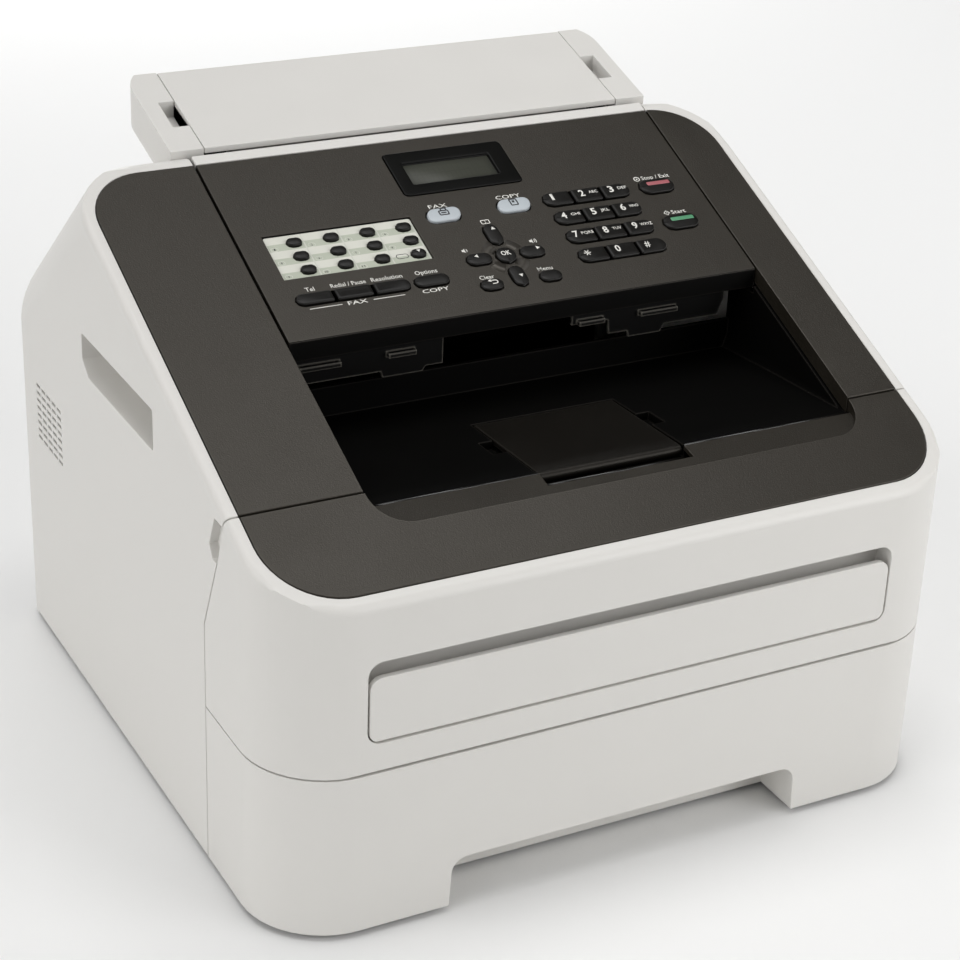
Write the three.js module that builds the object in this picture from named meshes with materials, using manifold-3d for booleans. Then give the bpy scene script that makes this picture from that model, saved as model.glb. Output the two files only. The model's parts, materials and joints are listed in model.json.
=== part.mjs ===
// Desktop laser fax machine: casings, paper tray, output bin, lifting control panel with its keys,
// document tray, and the printing units inside. Millimetres, +X right, +Y back, +Z up.
// The origin is on the floor under the middle of the bounding box.
import * as THREE from 'three';
import { mergeVertices, mergeGeometries } from 'three/addons/utils/BufferGeometryUtils.js';
import Module from 'manifold-3d';

const wasm = await Module();
wasm.setup();

// ---------------------------------------------------------------- driving dimensions
const HALF_WIDTH = 184; // overall width 368
const FRONT = -180; // front face
const REAR = 180; // outermost face, the rear door; overall depth 360
const REAR_WALL = 173.2; // flat rear wall that the door stands proud of
const BOTTOM = 3.5; // underside of the casings; the feet fill the rest
const WALL = 2.6; // moulded wall
const LINE = 0.8; // shadow line between two covers
const DARK_LINE = 1.2; // the same across the black covers
const FIT = 0.4; // clearance round an inset piece

const FRONT_CORNER = 41.5; // radius of the front corners in plan
const REAR_CORNER = 6; // radius of the rear corners in plan
const SHOULDER = 38; // radius along the sides of the sloping back

const TOP_SLOPE = Math.atan(0.43); // the whole top face tilts towards the user
const TOP_Z = 250.2; // height of the top face at y = 0
const BACK_SLOPE = Math.atan(0.82); // sloping back above the rear wall
const RIDGE = [89.5, 288.8]; // y, z where the top face meets the sloping back

const TRAY_SPLIT = 87.6; // height of the line above the paper tray
const SIDE_SPLIT = -96.6; // y of the line behind the front cover
const COVER_SPLIT = -122.8; // y of the line across the black covers
const BLACK_HALF = 176.7; // half width of the black field
const BLACK_FRONT = -173.1;
const BLACK_BACK = 82.6;
const BLACK_CORNERS = [34, 30]; // front, back
const PANEL_LEFT = -116.6; // sides of the control panel and of the output bin
const PANEL_RIGHT = 147.2;
const PANEL_LIP = -34.7; // front edge of the control panel
const BIN_FRONT = -142.5; // front edge of the output opening
const BIN_CORNER = 18;
const SHELF_BACK = -125.4; // the flat lip in front of the bin floor
const SHELF_Z = 191;

const SLAB_FRONT = [93.6, 290.5]; // document tray, upper front edge (y, z)
const SLAB_BACK = [161.2, 311.1]; // upper rear edge, the highest line of the machine
const SLAB_DEPTH = 20;
const SLAB_SIDES = [-125, 152.5];
const FLAP_SIDES = [-106.9, 134.6]; // the lifting flap between the two arms

const KEY_HEAD = 1.5; // how far a key stands above the panel
const ARC_STEP = 7.5; // degrees per facet on large outlines

// ---------------------------------------------------------------- materials
const finish = (color, roughness, metalness = 0) => new THREE.MeshStandardMaterial({ color, roughness,
  metalness });
const LIGHT = () => finish('#d9d7d2', 0.55);
const BLACK = () => finish('#3b3834', 0.6);
const KEYCAP = () => finish('#24221f', 0.45);
const INNER = () => finish('#191817', 0.7);
const METAL = () => finish('#a9abad', 0.4, 0.9);
const RUBBER = () => finish('#2a2a2a', 0.9);

// ---------------------------------------------------------------- solids and outlines
const rad = (deg) => (deg * Math.PI) / 180;
const topAt = (y) => TOP_Z + Math.tan(TOP_SLOPE) * y;
const alongTop = (y) => y / Math.cos(TOP_SLOPE); // y to distance along the top face
const SLAB_RISE = (SLAB_BACK[1] - SLAB_FRONT[1]) / (SLAB_BACK[0] - SLAB_FRONT[0]);
const slabAt = (y) => SLAB_FRONT[1] + SLAB_RISE * (y - SLAB_FRONT[0]);

function solid(geometry) {
  const bare = geometry.clone();
  bare.deleteAttribute('normal');
  bare.deleteAttribute('uv');
  const merged = mergeVertices(bare, 1e-4);
  return new wasm.Manifold(new wasm.Mesh({
    numProp: 3,
    vertProperties: new Float32Array(merged.attributes.position.array),
    triVerts: new Uint32Array(merged.index.array),
  }));
}
const join = (...parts) => parts.reduce((a, b) => a.add(b));
const cut = (body, ...tools) => tools.reduce((a, b) => a.subtract(b), body);
const common = (...parts) => parts.reduce((a, b) => a.intersect(b));

// Corner list [u, v, radius] to a closed outline with true arcs cut into short facets.
function outline(corners, step = ARC_STEP) {
  const points = [];
  corners.forEach(([u, v, radius = 0], i) => {
    const at = new THREE.Vector2(u, v);
    if (!radius) return points.push(at);
    const [pu, pv] = corners[(i + corners.length - 1) % corners.length];
    const [nu, nv] = corners[(i + 1) % corners.length];
    const before = new THREE.Vector2(pu, pv).sub(at).normalize();
    const after = new THREE.Vector2(nu, nv).sub(at).normalize();
    const half = Math.acos(THREE.MathUtils.clamp(before.dot(after), -1, 1)) / 2;
    const centre = before.clone().add(after).normalize().multiplyScalar(radius / Math.sin(half)).add(at);
    const start = before.clone().multiplyScalar(radius / Math.tan(half)).add(at).sub(centre);
    const end = after.clone().multiplyScalar(radius / Math.tan(half)).add(at).sub(centre);
    const sweep = Math.atan2(start.cross(end), start.dot(end));
    const count = Math.max(2, Math.round(Math.abs(sweep) / rad(step)));
    for (let k = 0; k <= count; k += 1) {
      points.push(start.clone().rotateAround(new THREE.Vector2(), (sweep * k) / count).add(centre));
    }
    return points.length;
  });
  return new THREE.Shape(points);
}
const rectangle = (u0, u1, v0, v1, r = [0, 0, 0, 0]) => [
  [u0, v0, r[0]], [u1, v0, r[1]], [u1, v1, r[2]], [u0, v1, r[3]],
];
const evenCorners = (r) => [r, r, r, r];

const extruded = (shape, depth) => new THREE.ExtrudeGeometry(shape, { depth, bevelEnabled: false });
function box(x0, x1, y0, y1, z0, z1) {
  const geometry = new THREE.BoxGeometry(x1 - x0, y1 - y0, z1 - z0);
  return solid(geometry.translate((x0 + x1) / 2, (y0 + y1) / 2, (z0 + z1) / 2));
}
// Outline in (x, y) between two heights.
const plan = (corners, z0, z1, step) => solid(extruded(outline(corners, step), z1 - z0).translate(0, 0, z0));
// Outline in (y, z) between two x values.
const AXES_X = new THREE.Matrix4().makeBasis(
  new THREE.Vector3(0, 1, 0), new THREE.Vector3(0, 0, 1), new THREE.Vector3(1, 0, 0));
const side = (corners, x0, x1, step) => solid(
  extruded(outline(corners, step), x1 - x0).translate(0, 0, x0).applyMatrix4(AXES_X));
// Outline in (x, z) between two y values.
const AXES_Y = new THREE.Matrix4().makeBasis(
  new THREE.Vector3(1, 0, 0), new THREE.Vector3(0, 0, 1), new THREE.Vector3(0, -1, 0));
const front = (corners, y0, y1, step) => solid(
  extruded(outline(corners, step), y1 - y0).translate(0, 0, -y1).applyMatrix4(AXES_Y));
// Outline in (x, distance up the top face) between two heights above that face.
const ON_TOP = new THREE.Matrix4().makeRotationX(TOP_SLOPE).setPosition(0, 0, TOP_Z);
const onTop = (corners, h0, h1, step) => solid(
  extruded(outline(corners, step), h1 - h0).translate(0, 0, h0).applyMatrix4(ON_TOP));
// A round bar along X.
function bar(x0, x1, y, z, radius, sides = 24) {
  const geometry = new THREE.CylinderGeometry(radius, radius, x1 - x0, sides).rotateZ(Math.PI / 2);
  return solid(geometry.translate((x0 + x1) / 2, y, z));
}

// ---------------------------------------------------------------- the scene graph
const machine = new THREE.Group();
const panelGroup = new THREE.Group(); // local x, distance up the top face, height above it
panelGroup.rotation.x = TOP_SLOPE;
panelGroup.position.z = TOP_Z;
machine.add(panelGroup);

function addSolid(name, body, material) {
  const { vertProperties, triVerts } = body.getMesh();
  const geometry = new THREE.BufferGeometry();
  geometry.setAttribute('position', new THREE.BufferAttribute(vertProperties, 3));
  geometry.setIndex(new THREE.BufferAttribute(triVerts, 1));
  const mesh = new THREE.Mesh(geometry, material);
  mesh.name = name;
  machine.add(mesh);
}

// ---------------------------------------------------------------- envelope shared by the casings
// The outside of the casings, or the same form moved inwards by a wall.
function envelope(inset) {
  const r = [FRONT_CORNER - inset, FRONT_CORNER - inset, Math.max(REAR_CORNER - inset, 1),
    Math.max(REAR_CORNER - inset, 1)];
  const low = inset ? BOTTOM - 20 : BOTTOM;
  const footprint = plan(
    rectangle(-HALF_WIDTH + inset, HALF_WIDTH - inset, FRONT + inset, REAR_WALL - inset, r), low, 320);
  const reach = 240;
  const down = inset / Math.cos(TOP_SLOPE);
  const underTop = side([
    [-reach, -40], [reach, -40], [reach, topAt(reach) - down], [-reach, topAt(-reach) - down]], -220, 220);
  const along = new THREE.Vector3(0, Math.cos(BACK_SLOPE), -Math.sin(BACK_SLOPE));
  const normal = new THREE.Vector3(0, Math.sin(BACK_SLOPE), Math.cos(BACK_SLOPE));
  const frame = new THREE.Matrix4().makeBasis(new THREE.Vector3(1, 0, 0), normal, along.negate());
  frame.setPosition(0, RIDGE[0], RIDGE[1]);
  const round = SHOULDER - inset;
  const section = rectangle(-HALF_WIDTH + inset, HALF_WIDTH - inset, -470, -inset, [0, 0, round, round]);
  const underBack = solid(extruded(outline(section, 9), 1000).translate(0, 0, -500).applyMatrix4(frame));
  return common(footprint, underTop, underBack);
}
const shell = cut(envelope(0), envelope(WALL));
const core = envelope(0);

// The line between the front cover and everything behind it, seen from the side.
const FRONT_LINE = [
  [SIDE_SPLIT, -20], [SIDE_SPLIT, 131.5], [-113.6, 170.9], [-119, 188], [COVER_SPLIT, 197.4],
  [COVER_SPLIT - 0.4, 198.4], [COVER_SPLIT - 0.4, 340]];
function frontRegion(shift) {
  const line = FRONT_LINE.map(([y, z]) => [y + shift, z]);
  return side([...line, [-260, 340], [-260, -20]], -220, 220);
}
// The black field of the top face, grown or shrunk by a margin.
function blackField(grow, z0 = 0, z1 = 330) {
  const [rf, rb] = BLACK_CORNERS.map((r) => r + grow);
  return plan(rectangle(-BLACK_HALF - grow, BLACK_HALF + grow, BLACK_FRONT - grow, BLACK_BACK + grow,
    [rf, rf, rb, rb]), z0, z1);
}
// A layer that follows the top face from h0 to h1 above it.
function topLayer(h0, h1, y0 = -200, y1 = 200) {
  const k = 1 / Math.cos(TOP_SLOPE);
  return side([
    [y0, topAt(y0) + h0 * k], [y1, topAt(y1) + h0 * k], [y1, topAt(y1) + h1 * k], [y0, topAt(y0) + h1 * k]],
      -220, 220);
}
const betweenX = (x0, x1) => box(x0, x1, -230, 230, -30, 340);
const betweenY = (y0, y1) => box(-220, 220, y0, y1, -30, 340);
const betweenZ = (z0, z1) => box(-220, 220, -230, 230, z0, z1);

// Space that the document tray fills, with its clearance.
function slabOutline(grow) {
  const r = 20 + grow;
  return rectangle(SLAB_SIDES[0] - grow, SLAB_SIDES[1] + grow, SLAB_FRONT[0] - grow,
    SLAB_BACK[0] + 6 + grow, [0, 0, r, r]);
}
const slabDrop = SLAB_DEPTH * Math.sqrt(1 + SLAB_RISE ** 2);
function slabSpace(grow) {
  const [y0, y1] = [SLAB_FRONT[0] - grow, SLAB_BACK[0] + 12];
  const profile = [[y0, slabAt(y0) - slabDrop - grow], [y1, slabAt(y1) - slabDrop - grow], [y1, 330],
    [y0, 330]];
  return common(plan(slabOutline(grow), 230, 330), side(profile, -220, 220));
}

// ---------------------------------------------------------------- side covers
const GRIP = { y0: -34.5, y1: 66, z0: 191.5, z1: 212.5, depth: 22 };
function gripTub(sign) {
  const deep = sign * (HALF_WIDTH - GRIP.depth - WALL);
  const outer = sign * (HALF_WIDTH - 0.5);
  return box(Math.min(deep, outer), Math.max(deep, outer),
    GRIP.y0 - WALL, GRIP.y1 + WALL, GRIP.z0 - WALL, GRIP.z1 + WALL);
}
function gripPocket(sign) {
  const corners = [[GRIP.y0, GRIP.z0, 1.5], [GRIP.y1 - 9, GRIP.z0, 1.5], [GRIP.y1, GRIP.z0 + 7, 1.5],
    [GRIP.y1, GRIP.z1, 1.5], [GRIP.y0, GRIP.z1, 1.5]];
  const [a, b] = [sign * (HALF_WIDTH - GRIP.depth), sign * (HALF_WIDTH + 5)];
  return side(corners, Math.min(a, b), Math.max(a, b), 30);
}
// Finger notch in the front edge of a side cover.
const NOTCH = [[-123.5, 192.5], [-111.3, 192.5], [-104.4, 177], [-108.5, 170.9], [-118, 170.9]];
function notchBlock(sign) {
  const [a, b] = [sign * (HALF_WIDTH - 6.6), sign * (HALF_WIDTH - 0.5)];
  const block = box(Math.min(a, b), Math.max(a, b), -125, -101, 166, 197);
  return common(cut(block, frontRegion(LINE / 2)), core);
}
const notchCut = (sign) => side(NOTCH, Math.min(sign * 179.5, sign * 190),
  Math.max(sign * 179.5, sign * 190));

// Ventilation slots: rows and columns of short slits in the left wall.
function ventSlots() {
  const slits = [];
  for (let row = 0; row < 8; row += 1) {
    for (let column = 0; column < 5; column += 1) {
      const y = 109.6 + 8.5 * column;
      const z = 121.6 + 4.32 * row;
      slits.push(new THREE.BoxGeometry(8, 6.8, 1.8).translate(-HALF_WIDTH, y, z));
    }
  }
  return solid(mergeGeometries(slits));
}
const SOCKET = { x0: -166, x1: -124, z0: 22, z1: 70 };
const DOOR = { x0: -104, x1: 134, z0: 34, z1: 152 };

function sideCover(sign) {
  const inner = sign < 0 ? PANEL_LEFT - LINE / 2 : PANEL_RIGHT + LINE / 2;
  const zone = sign < 0 ? betweenX(-220, inner) : betweenX(inner, 220);
  let body = common(shell, zone);
  body = cut(body, frontRegion(LINE / 2), blackField(FIT, 120), slabSpace(FIT));
  body = join(body, gripTub(sign), notchBlock(sign));
  body = cut(body, gripPocket(sign), notchCut(sign));
  if (sign < 0) {
    body = cut(body, ventSlots(), box(SOCKET.x0 - FIT, SOCKET.x1 + FIT, 165, 180, SOCKET.z0 - FIT,
      SOCKET.z1 + FIT));
  }
  return body;
}
addSolid('left_side_cover', sideCover(-1), LIGHT());
addSolid('right_side_cover', sideCover(1), LIGHT());

// ---------------------------------------------------------------- back of the machine
function rearFrameCover() {
  const zone = betweenX(PANEL_LEFT + LINE / 2, PANEL_RIGHT - LINE / 2);
  const swing = 2; // room under the door for its lower edge as it opens
  const opening = box(DOOR.x0 - LINE, DOOR.x1 + LINE, 160, 190, DOOR.z0 - swing, DOOR.z1 + LINE);
  return cut(common(shell, zone, betweenY(SLAB_FRONT[0], 200)), slabSpace(FIT), opening);
}
addSolid('rear_frame_cover', rearFrameCover(), LIGHT());

function rearCover() {
  const y0 = REAR_WALL - WALL;
  const profile = [[y0, DOOR.z0, 1.5], [REAR_WALL, DOOR.z0, 1.5], [REAR, DOOR.z0 + 12, 3],
    [REAR, DOOR.z1 - 12, 3],
    [REAR_WALL, DOOR.z1], [y0, DOOR.z1]];
  const hollow = [[y0 - 3, DOOR.z0 + 8], [REAR - 4, DOOR.z0 + 15], [REAR - 2.4, DOOR.z1 - 14],
    [y0 - 3, DOOR.z1 - 8]];
  const grip = box(-5, 35, REAR - 4.5, REAR + 3, DOOR.z1 - 20, DOOR.z1 - 8);
  const pin = (x) => bar(x - 4, x + 4, 170.6, DOOR.z0 + 3.4, 1.8, 12);
  let body = cut(side(profile, DOOR.x0, DOOR.x1, 20), side(hollow, DOOR.x0 + 2.4, DOOR.x1 - 2.4));
  body = join(body, box(-7, 37, REAR - 6.5, REAR - 1, DOOR.z1 - 22, DOOR.z1 - 5));
  return join(cut(body, grip), pin(DOOR.x0 + 8), pin(DOOR.x1 - 8));
}
addSolid('rear_cover', rearCover(), LIGHT());

function socketPanel() {
  const block = box(SOCKET.x0, SOCKET.x1, REAR_WALL - 17, REAR_WALL + 0.6, SOCKET.z0, SOCKET.z1);
  const floor = REAR_WALL - 14;
  const inlet = box(SOCKET.x0 + 7, SOCKET.x1 - 7, floor, 180, 28, 47);
  const blade = (x) => box(x - 1.5, x + 1.5, floor - 1, REAR_WALL - 3, 32, 38);
  const jack = (x) => box(x - 5.5, x + 5.5, floor, 180, 53, 64);
  return join(cut(block, inlet, jack(-154), jack(-136)), blade(-149.5), blade(-140.5));
}
addSolid('socket_panel', socketPanel(), INNER());

// ---------------------------------------------------------------- black covers of the top face
const SKIRT = 8; // depth of the wall that the covers show along the output bin
function blackSide(sign) {
  const edge = sign < 0 ? PANEL_LEFT - LINE / 2 : PANEL_RIGHT + LINE / 2;
  const zone = sign < 0 ? betweenX(-200, edge) : betweenX(edge, 200);
  const strip = sign < 0 ? betweenX(edge - WALL, edge) : betweenX(edge, edge + WALL);
  const rows = betweenY(COVER_SPLIT + DARK_LINE / 2, BLACK_BACK);
  const plate = common(blackField(0), topLayer(-WALL, 0.3), zone, rows);
  const skirt = common(blackField(0), topLayer(-SKIRT, -0.5), strip, rows);
  return join(plate, skirt);
}
addSolid('left_top_cover', blackSide(-1), BLACK());
addSolid('right_top_cover', blackSide(1), BLACK());

const openingOutline = (grow) => rectangle(PANEL_LEFT - grow, PANEL_RIGHT + grow, BIN_FRONT - grow, 60,
  [BIN_CORNER + grow, BIN_CORNER + grow, 0, 0]);
const FINGER = { x0: -28.5, x1: 50.5, y0: -135.4 }; // pocket in front of the bin flap
function frontTopTrim() {
  const rows = betweenY(-200, COVER_SPLIT - DARK_LINE / 2);
  const plate = common(blackField(0), topLayer(-WALL, 0.3), rows);
  const ring = common(plan(openingOutline(WALL), 150, 240), topLayer(-SKIRT, -0.5), rows);
  const opening = plan(openingOutline(0), 150, 240);
  const shelf = common(plan(openingOutline(1), 150, 240), side([
    [BIN_FRONT - 2, topAt(BIN_FRONT - 2) - 1.2], [SHELF_BACK, SHELF_Z], [SHELF_BACK, SHELF_Z - WALL],
    [BIN_FRONT - 2, topAt(BIN_FRONT - 2) - 1.2 - WALL]], -200, 200));
  const pocket = side([[FINGER.y0, 200], [FINGER.y0 + 2.5, 175], [-120, 175], [-120, 200]], FINGER.x0,
    FINGER.x1);
  return cut(join(cut(join(plate, ring), opening), shelf), pocket);
}
addSolid('front_top_trim', frontTopTrim(), BLACK());

// ---------------------------------------------------------------- front cover and manual feed flap
const HINGE = { y: -176.9, z: 91.2, r: 3.8 }; // axis of the front cover
const FEED = { half: 140.2, z0: 102.7, z1: 144.5, depth: 12, r: 7 };
const FEED_FLAP = { half: 139.2, z0: 103.3, z1: 136.5, thick: 3, r: 6, hingeY: -177.4, hingeZ: 109.3 };

function frontCover() {
  let body = common(shell, frontRegion(-LINE / 2), betweenZ(TRAY_SPLIT + LINE / 2, 330));
  body = cut(body, blackField(FIT, 120));
  const rounding = side([[-190, 80], [HINGE.y, 80], [HINGE.y, HINGE.z], [-190, HINGE.z]], -190, 190);
  body = cut(body, cut(rounding, bar(-191, 191, HINGE.y, HINGE.z, HINGE.r, 48)));
  const back = FRONT + FEED.depth;
  const tub = box(-FEED.half - WALL, FEED.half + WALL, FRONT + 0.5, back + WALL, FEED.z0 - WALL,
    FEED.z1 + WALL);
  const pocket = front(rectangle(-FEED.half, FEED.half, FEED.z0, FEED.z1, evenCorners(FEED.r)), -190, back,
    15);
  const slot = box(-112, 112, -175, -150, 137, 142);
  const rib = (x) => side([[-178.5, 88.9], [-171.5, 88.9, 3], [-171.5, 104], [-178.5, 104]], x - 1.5,
    x + 1.5, 30);
  const hole = (x) => bar(x - 5, x + 5, HINGE.y, HINGE.z, 1.8, 12);
  return cut(join(body, tub, rib(-140), rib(140)), pocket, slot, hole(-140), hole(140));
}
addSolid('front_cover', frontCover(), LIGHT());

function manualFeedFlap() {
  const y0 = FRONT;
  const y1 = FRONT + FEED_FLAP.thick;
  const r = FEED_FLAP.r;
  const panel = front(rectangle(-FEED_FLAP.half, FEED_FLAP.half, FEED_FLAP.z0, FEED_FLAP.z1, [r, r, r, r]),
    y0, y1, 15);
  const heel = side([[y0, FEED_FLAP.z0, 2], [y1, FEED_FLAP.z0, 0.8], [y1, 150], [y0, 150]], -150, 150, 20);
  const barrel = (x) => bar(x - 6, x + 6, FEED_FLAP.hingeY, FEED_FLAP.hingeZ, 2.2, 12);
  return join(common(panel, heel), barrel(-120), barrel(120));
}
addSolid('manual_feed_flap', manualFeedFlap(), LIGHT());

// ---------------------------------------------------------------- paper tray
const CUTOUT = { half: 96.2, z: 29.2, back: -153, r: 8 };
function trayFront() {
  let body = common(shell, betweenY(-200, SIDE_SPLIT - LINE / 2), betweenZ(0, TRAY_SPLIT - LINE / 2));
  body = join(body, box(-CUTOUT.half - WALL, CUTOUT.half + WALL, FRONT + 0.5, CUTOUT.back + WALL, BOTTOM,
    CUTOUT.z + WALL));
  const hollow = front([[-CUTOUT.half - 0.6, -5], [CUTOUT.half + 0.6, -5],
    [CUTOUT.half - 1, CUTOUT.z, CUTOUT.r],
    [-CUTOUT.half + 1, CUTOUT.z, CUTOUT.r]], -190, CUTOUT.back, 18);
  return cut(body, hollow);
}
addSolid('paper_tray_front', trayFront(), LIGHT());

const BOX = { half: 115, y0: -149.6, y1: 162, z0: 6.4, z1: 61 };
function paperTray() {
  const outer = box(-BOX.half, BOX.half, BOX.y0, BOX.y1, BOX.z0, BOX.z1);
  const inner = box(-BOX.half + WALL, BOX.half - WALL, BOX.y0 + WALL, BOX.y1 - WALL, BOX.z0 + WALL, 80);
  const rail = (s) => box(Math.min(s * 114, s * 117.4), Math.max(s * 114, s * 117.4), BOX.y0, BOX.y1, 56, 59);
  const window = box(-30, 30, 155, 170, 25, 80); // sheets are squared up through it
  return cut(join(cut(outer, inner), rail(-1), rail(1)), window);
}
addSolid('paper_tray', paperTray(), INNER());

const LIFT = { half: 104, y0: -143, y1: 24, z: 11.5, hinge: 20 };
function liftPlate() {
  const plate = box(-LIFT.half, LIFT.half, LIFT.y0, LIFT.y1, LIFT.z, LIFT.z + 1.2);
  const lip = (s) => box(Math.min(s * LIFT.half, s * (LIFT.half - 1.2)),
    Math.max(s * LIFT.half, s * (LIFT.half - 1.2)),
    LIFT.hinge - 12, LIFT.y1, LIFT.z, LIFT.z + 9);
  const notch = box(-22, 22, LIFT.y0 - 1, LIFT.y0 + 9, 5, 20);
  return cut(join(plate, lip(-1), lip(1)), notch);
}
addSolid('lift_plate', liftPlate(), METAL());

// ---------------------------------------------------------------- chassis with the moulded feet
function baseFrame() {
  const deck = box(-178, 178, -88, 166, 90, 93);
  const window = box(-48, 48, -90, -60, 88, 95);
  const wall = (s) => box(Math.min(s * 119.4, s * 122.4), Math.max(s * 119.4, s * 122.4), -88, 166, 6, 91);
  const flange = (s) => box(Math.min(s * 120, s * 178), Math.max(s * 120, s * 178), -88, 166, 6, 9);
  const foot = (x, y) => plan(rectangle(x - 10, x + 10, y - 10, y + 10, evenCorners(9.9)), 0, 7, 30);
  const arm = (s) => box(Math.min(s * 133, s * 136.6), Math.max(s * 133, s * 136.6), -174, -80, 91.2, 95);
  const pin = (s) => bar(Math.min(s * 136, s * 142), Math.max(s * 136, s * 142), HINGE.y, HINGE.z, 1.4, 12);
  const nose = (s) => box(Math.min(s * 133, s * 136.6), Math.max(s * 133, s * 136.6), -176.8, -172, 91.1, 95);
  const rearLeg = (x0, x1) => box(x0, x1, 158, 166, 91, 168);
  const bothSides = [-1, 1].flatMap((s) => [wall(s), flange(s), foot(s * 165, -76), foot(s * 165, 154),
    arm(s), nose(s), pin(s)]);
  return cut(join(deck, ...bothSides, rearLeg(-172, -160), rearLeg(160, 172)), window);
}
addSolid('base_frame', baseFrame(), METAL());

// ---------------------------------------------------------------- output bin
const BIN = {
  left: PANEL_LEFT - LINE / 2, right: PANEL_RIGHT + LINE / 2, back: -13,
  frontZ: 190.6, midZ: 187.2, backZ: 184, // the floor's heights, from the front to the back
};
function outputBin() {
  const start = SHELF_BACK + 0.6;
  const floor = side([[start, BIN.frontZ], [-60, BIN.midZ], [BIN.back, BIN.backZ], [BIN.back, BIN.backZ - 7],
    [-60, BIN.midZ - 7], [start, BIN.frontZ - 7]], BIN.left + 2 * FIT, BIN.right - 2 * FIT);
  const underCovers = topLayer(-90, -SKIRT - FIT);
  const wall = (x0, x1) => common(underCovers, side([
    [start, BIN.frontZ - 7], [start, 236], [PANEL_LIP - 1, 236], [PANEL_LIP - 1, 222], [BIN.back, 222],
    [BIN.back, BIN.backZ - 7]], x0, x1));
  const rear = box(BIN.left, BIN.right, BIN.back - WALL, BIN.back, BIN.backZ - 4, 200);
  const fillet = common(underCovers, front([[BIN.right - 5, BIN.backZ - 3], [BIN.right, BIN.backZ - 3],
    [BIN.right, BIN.frontZ + 5]], start, BIN.back));
  const recess = side([[-133, BIN.frontZ - 5.9], [-133, 210], [-57.6, 210], [-57.6, BIN.midZ - 4.2]],
    FLAP.x0 - 1, FLAP.x1 + 1);
  const pit = (x) => box(x - 4, x + 4, -95, -80, BIN.midZ - 3.6, 200);
  const trough = join(box(FLAP.x0 - 3, FLAP.x1 + 3, -133.6, start + 2, 180.4, 183),
    box(FLAP.x0 - 3, FLAP.x1 + 3, start, start + 4, 180.4, BIN.frontZ - 5));
  const tub = join(floor, trough, wall(BIN.left - WALL, BIN.left + 1.4),
    wall(BIN.right - 1.4, BIN.right + WALL), rear, fillet);
  return cut(tub, recess, pit(FLAP.x0 - 4.5), pit(FLAP.x1 + 4.5));
}
const FLAP = { x0: -28, x1: 50, y1: -58.4, hingeY: -122.6, hingeZ: 187.6, r: 2.6 };
addSolid('output_bin', outputBin(), INNER());

function binFlap() {
  const rise = (BIN.midZ - BIN.frontZ) / (-60 - SHELF_BACK);
  const zAt = (y) => BIN.frontZ + rise * (y - SHELF_BACK);
  const leaf = side([[FLAP.hingeY, FLAP.hingeZ - 0.4], [FLAP.y1, zAt(FLAP.y1) - 3],
    [FLAP.y1, zAt(FLAP.y1), 0.8],
    [FLAP.hingeY, FLAP.hingeZ + FLAP.r]], FLAP.x0, FLAP.x1, 45);
  return join(leaf, bar(FLAP.x0, FLAP.x1, FLAP.hingeY, FLAP.hingeZ, FLAP.r, 20));
}
addSolid('output_stop_flap', binFlap(), BLACK());

// ---------------------------------------------------------------- control panel
const PANEL = {
  x0: PANEL_LEFT + 1.2, x1: PANEL_RIGHT - LINE / 2, v0: alongTop(PANEL_LIP), v1: alongTop(BLACK_BACK),
    thick: 3,
};
const LIP_DROP = 10.5; // height of the dark face under the panel's front edge
const keys = []; // every key: name, outline, colour
const wells = []; // the openings that they stand in, one for each row of joined keys

const pill = (x0, x1, v0, v1) => rectangle(x0, x1, v0, v1, evenCorners((v1 - v0) / 2 - 0.05));
// A row of keys that share one long slot: only the outer ends are round.
function keyRow(names, x0, x1, v0, v1, gap) {
  const width = (x1 - x0 - gap * (names.length - 1)) / names.length;
  const r = (v1 - v0) / 2 - 0.05;
  wells.push(pill(x0, x1, v0, v1));
  names.forEach((name, i) => {
    const a = x0 + i * (width + gap);
    const left = i === 0 ? r : 0.8;
    const right = i === names.length - 1 ? r : 0.8;
    keys.push({ name, corners: rectangle(a, a + width, v0, v1, [left, right, right, left]) });
  });
}
const DIAL = { x0: 54.4, x1: 105.8, v: 31, pitch: 14.25, height: 9.4 };
[['1', '2', '3'], ['4', '5', '6'], ['7', '8', '9'], ['star', '0', 'hash']].forEach((row, i) => {
  const v = DIAL.v - i * DIAL.pitch;
  keyRow(row.map((label) => `key_${label}`), DIAL.x0, DIAL.x1, v - DIAL.height / 2, v + DIAL.height / 2, 1.4);
});
const FUNCTION_ROW = [-16.2, -9];
keyRow(['key_tel', 'key_redial', 'key_resolution'], -101.8, -41.2, ...FUNCTION_ROW, 1.6);
const rowKeys = keys.length;
keys.push({ name: 'key_options', corners: pill(-38.7, -20, ...FUNCTION_ROW) });
const modeKey = (x) => [[x - 10, 26.3, 4.2], [x + 8.6, 26.3, 4.2], [x + 10.9, 35.7, 4.2],
  [x - 8.6, 35.7, 4.2]];
keys.push({ name: 'key_fax', corners: modeKey(-3.4), color: '#b9bfc4' });
keys.push({ name: 'key_copy', corners: modeKey(36.9), color: '#b9bfc4' });
const NAV = { x: 16.4, v: -3.2, width: 8, length: 14.4, ring: 8.2 };
const across = (x0, x1) => pill(x0, x1, NAV.v - NAV.width / 2 + 0.1, NAV.v + NAV.width / 2 - 0.1);
const upright = (v0, v1) => rectangle(NAV.x - NAV.width / 2, NAV.x + NAV.width / 2, v0, v1,
  evenCorners(NAV.width / 2 - 0.05));
keys.push({ name: 'key_up', corners: upright(NAV.v + NAV.ring, NAV.v + NAV.ring + NAV.length + 0.4) });
keys.push({ name: 'key_down', corners: upright(NAV.v - NAV.ring - NAV.length + 0.4, NAV.v - NAV.ring) });
keys.push({ name: 'key_left', corners: across(NAV.x - NAV.ring - NAV.length + 0.6, NAV.x - NAV.ring) });
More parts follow.
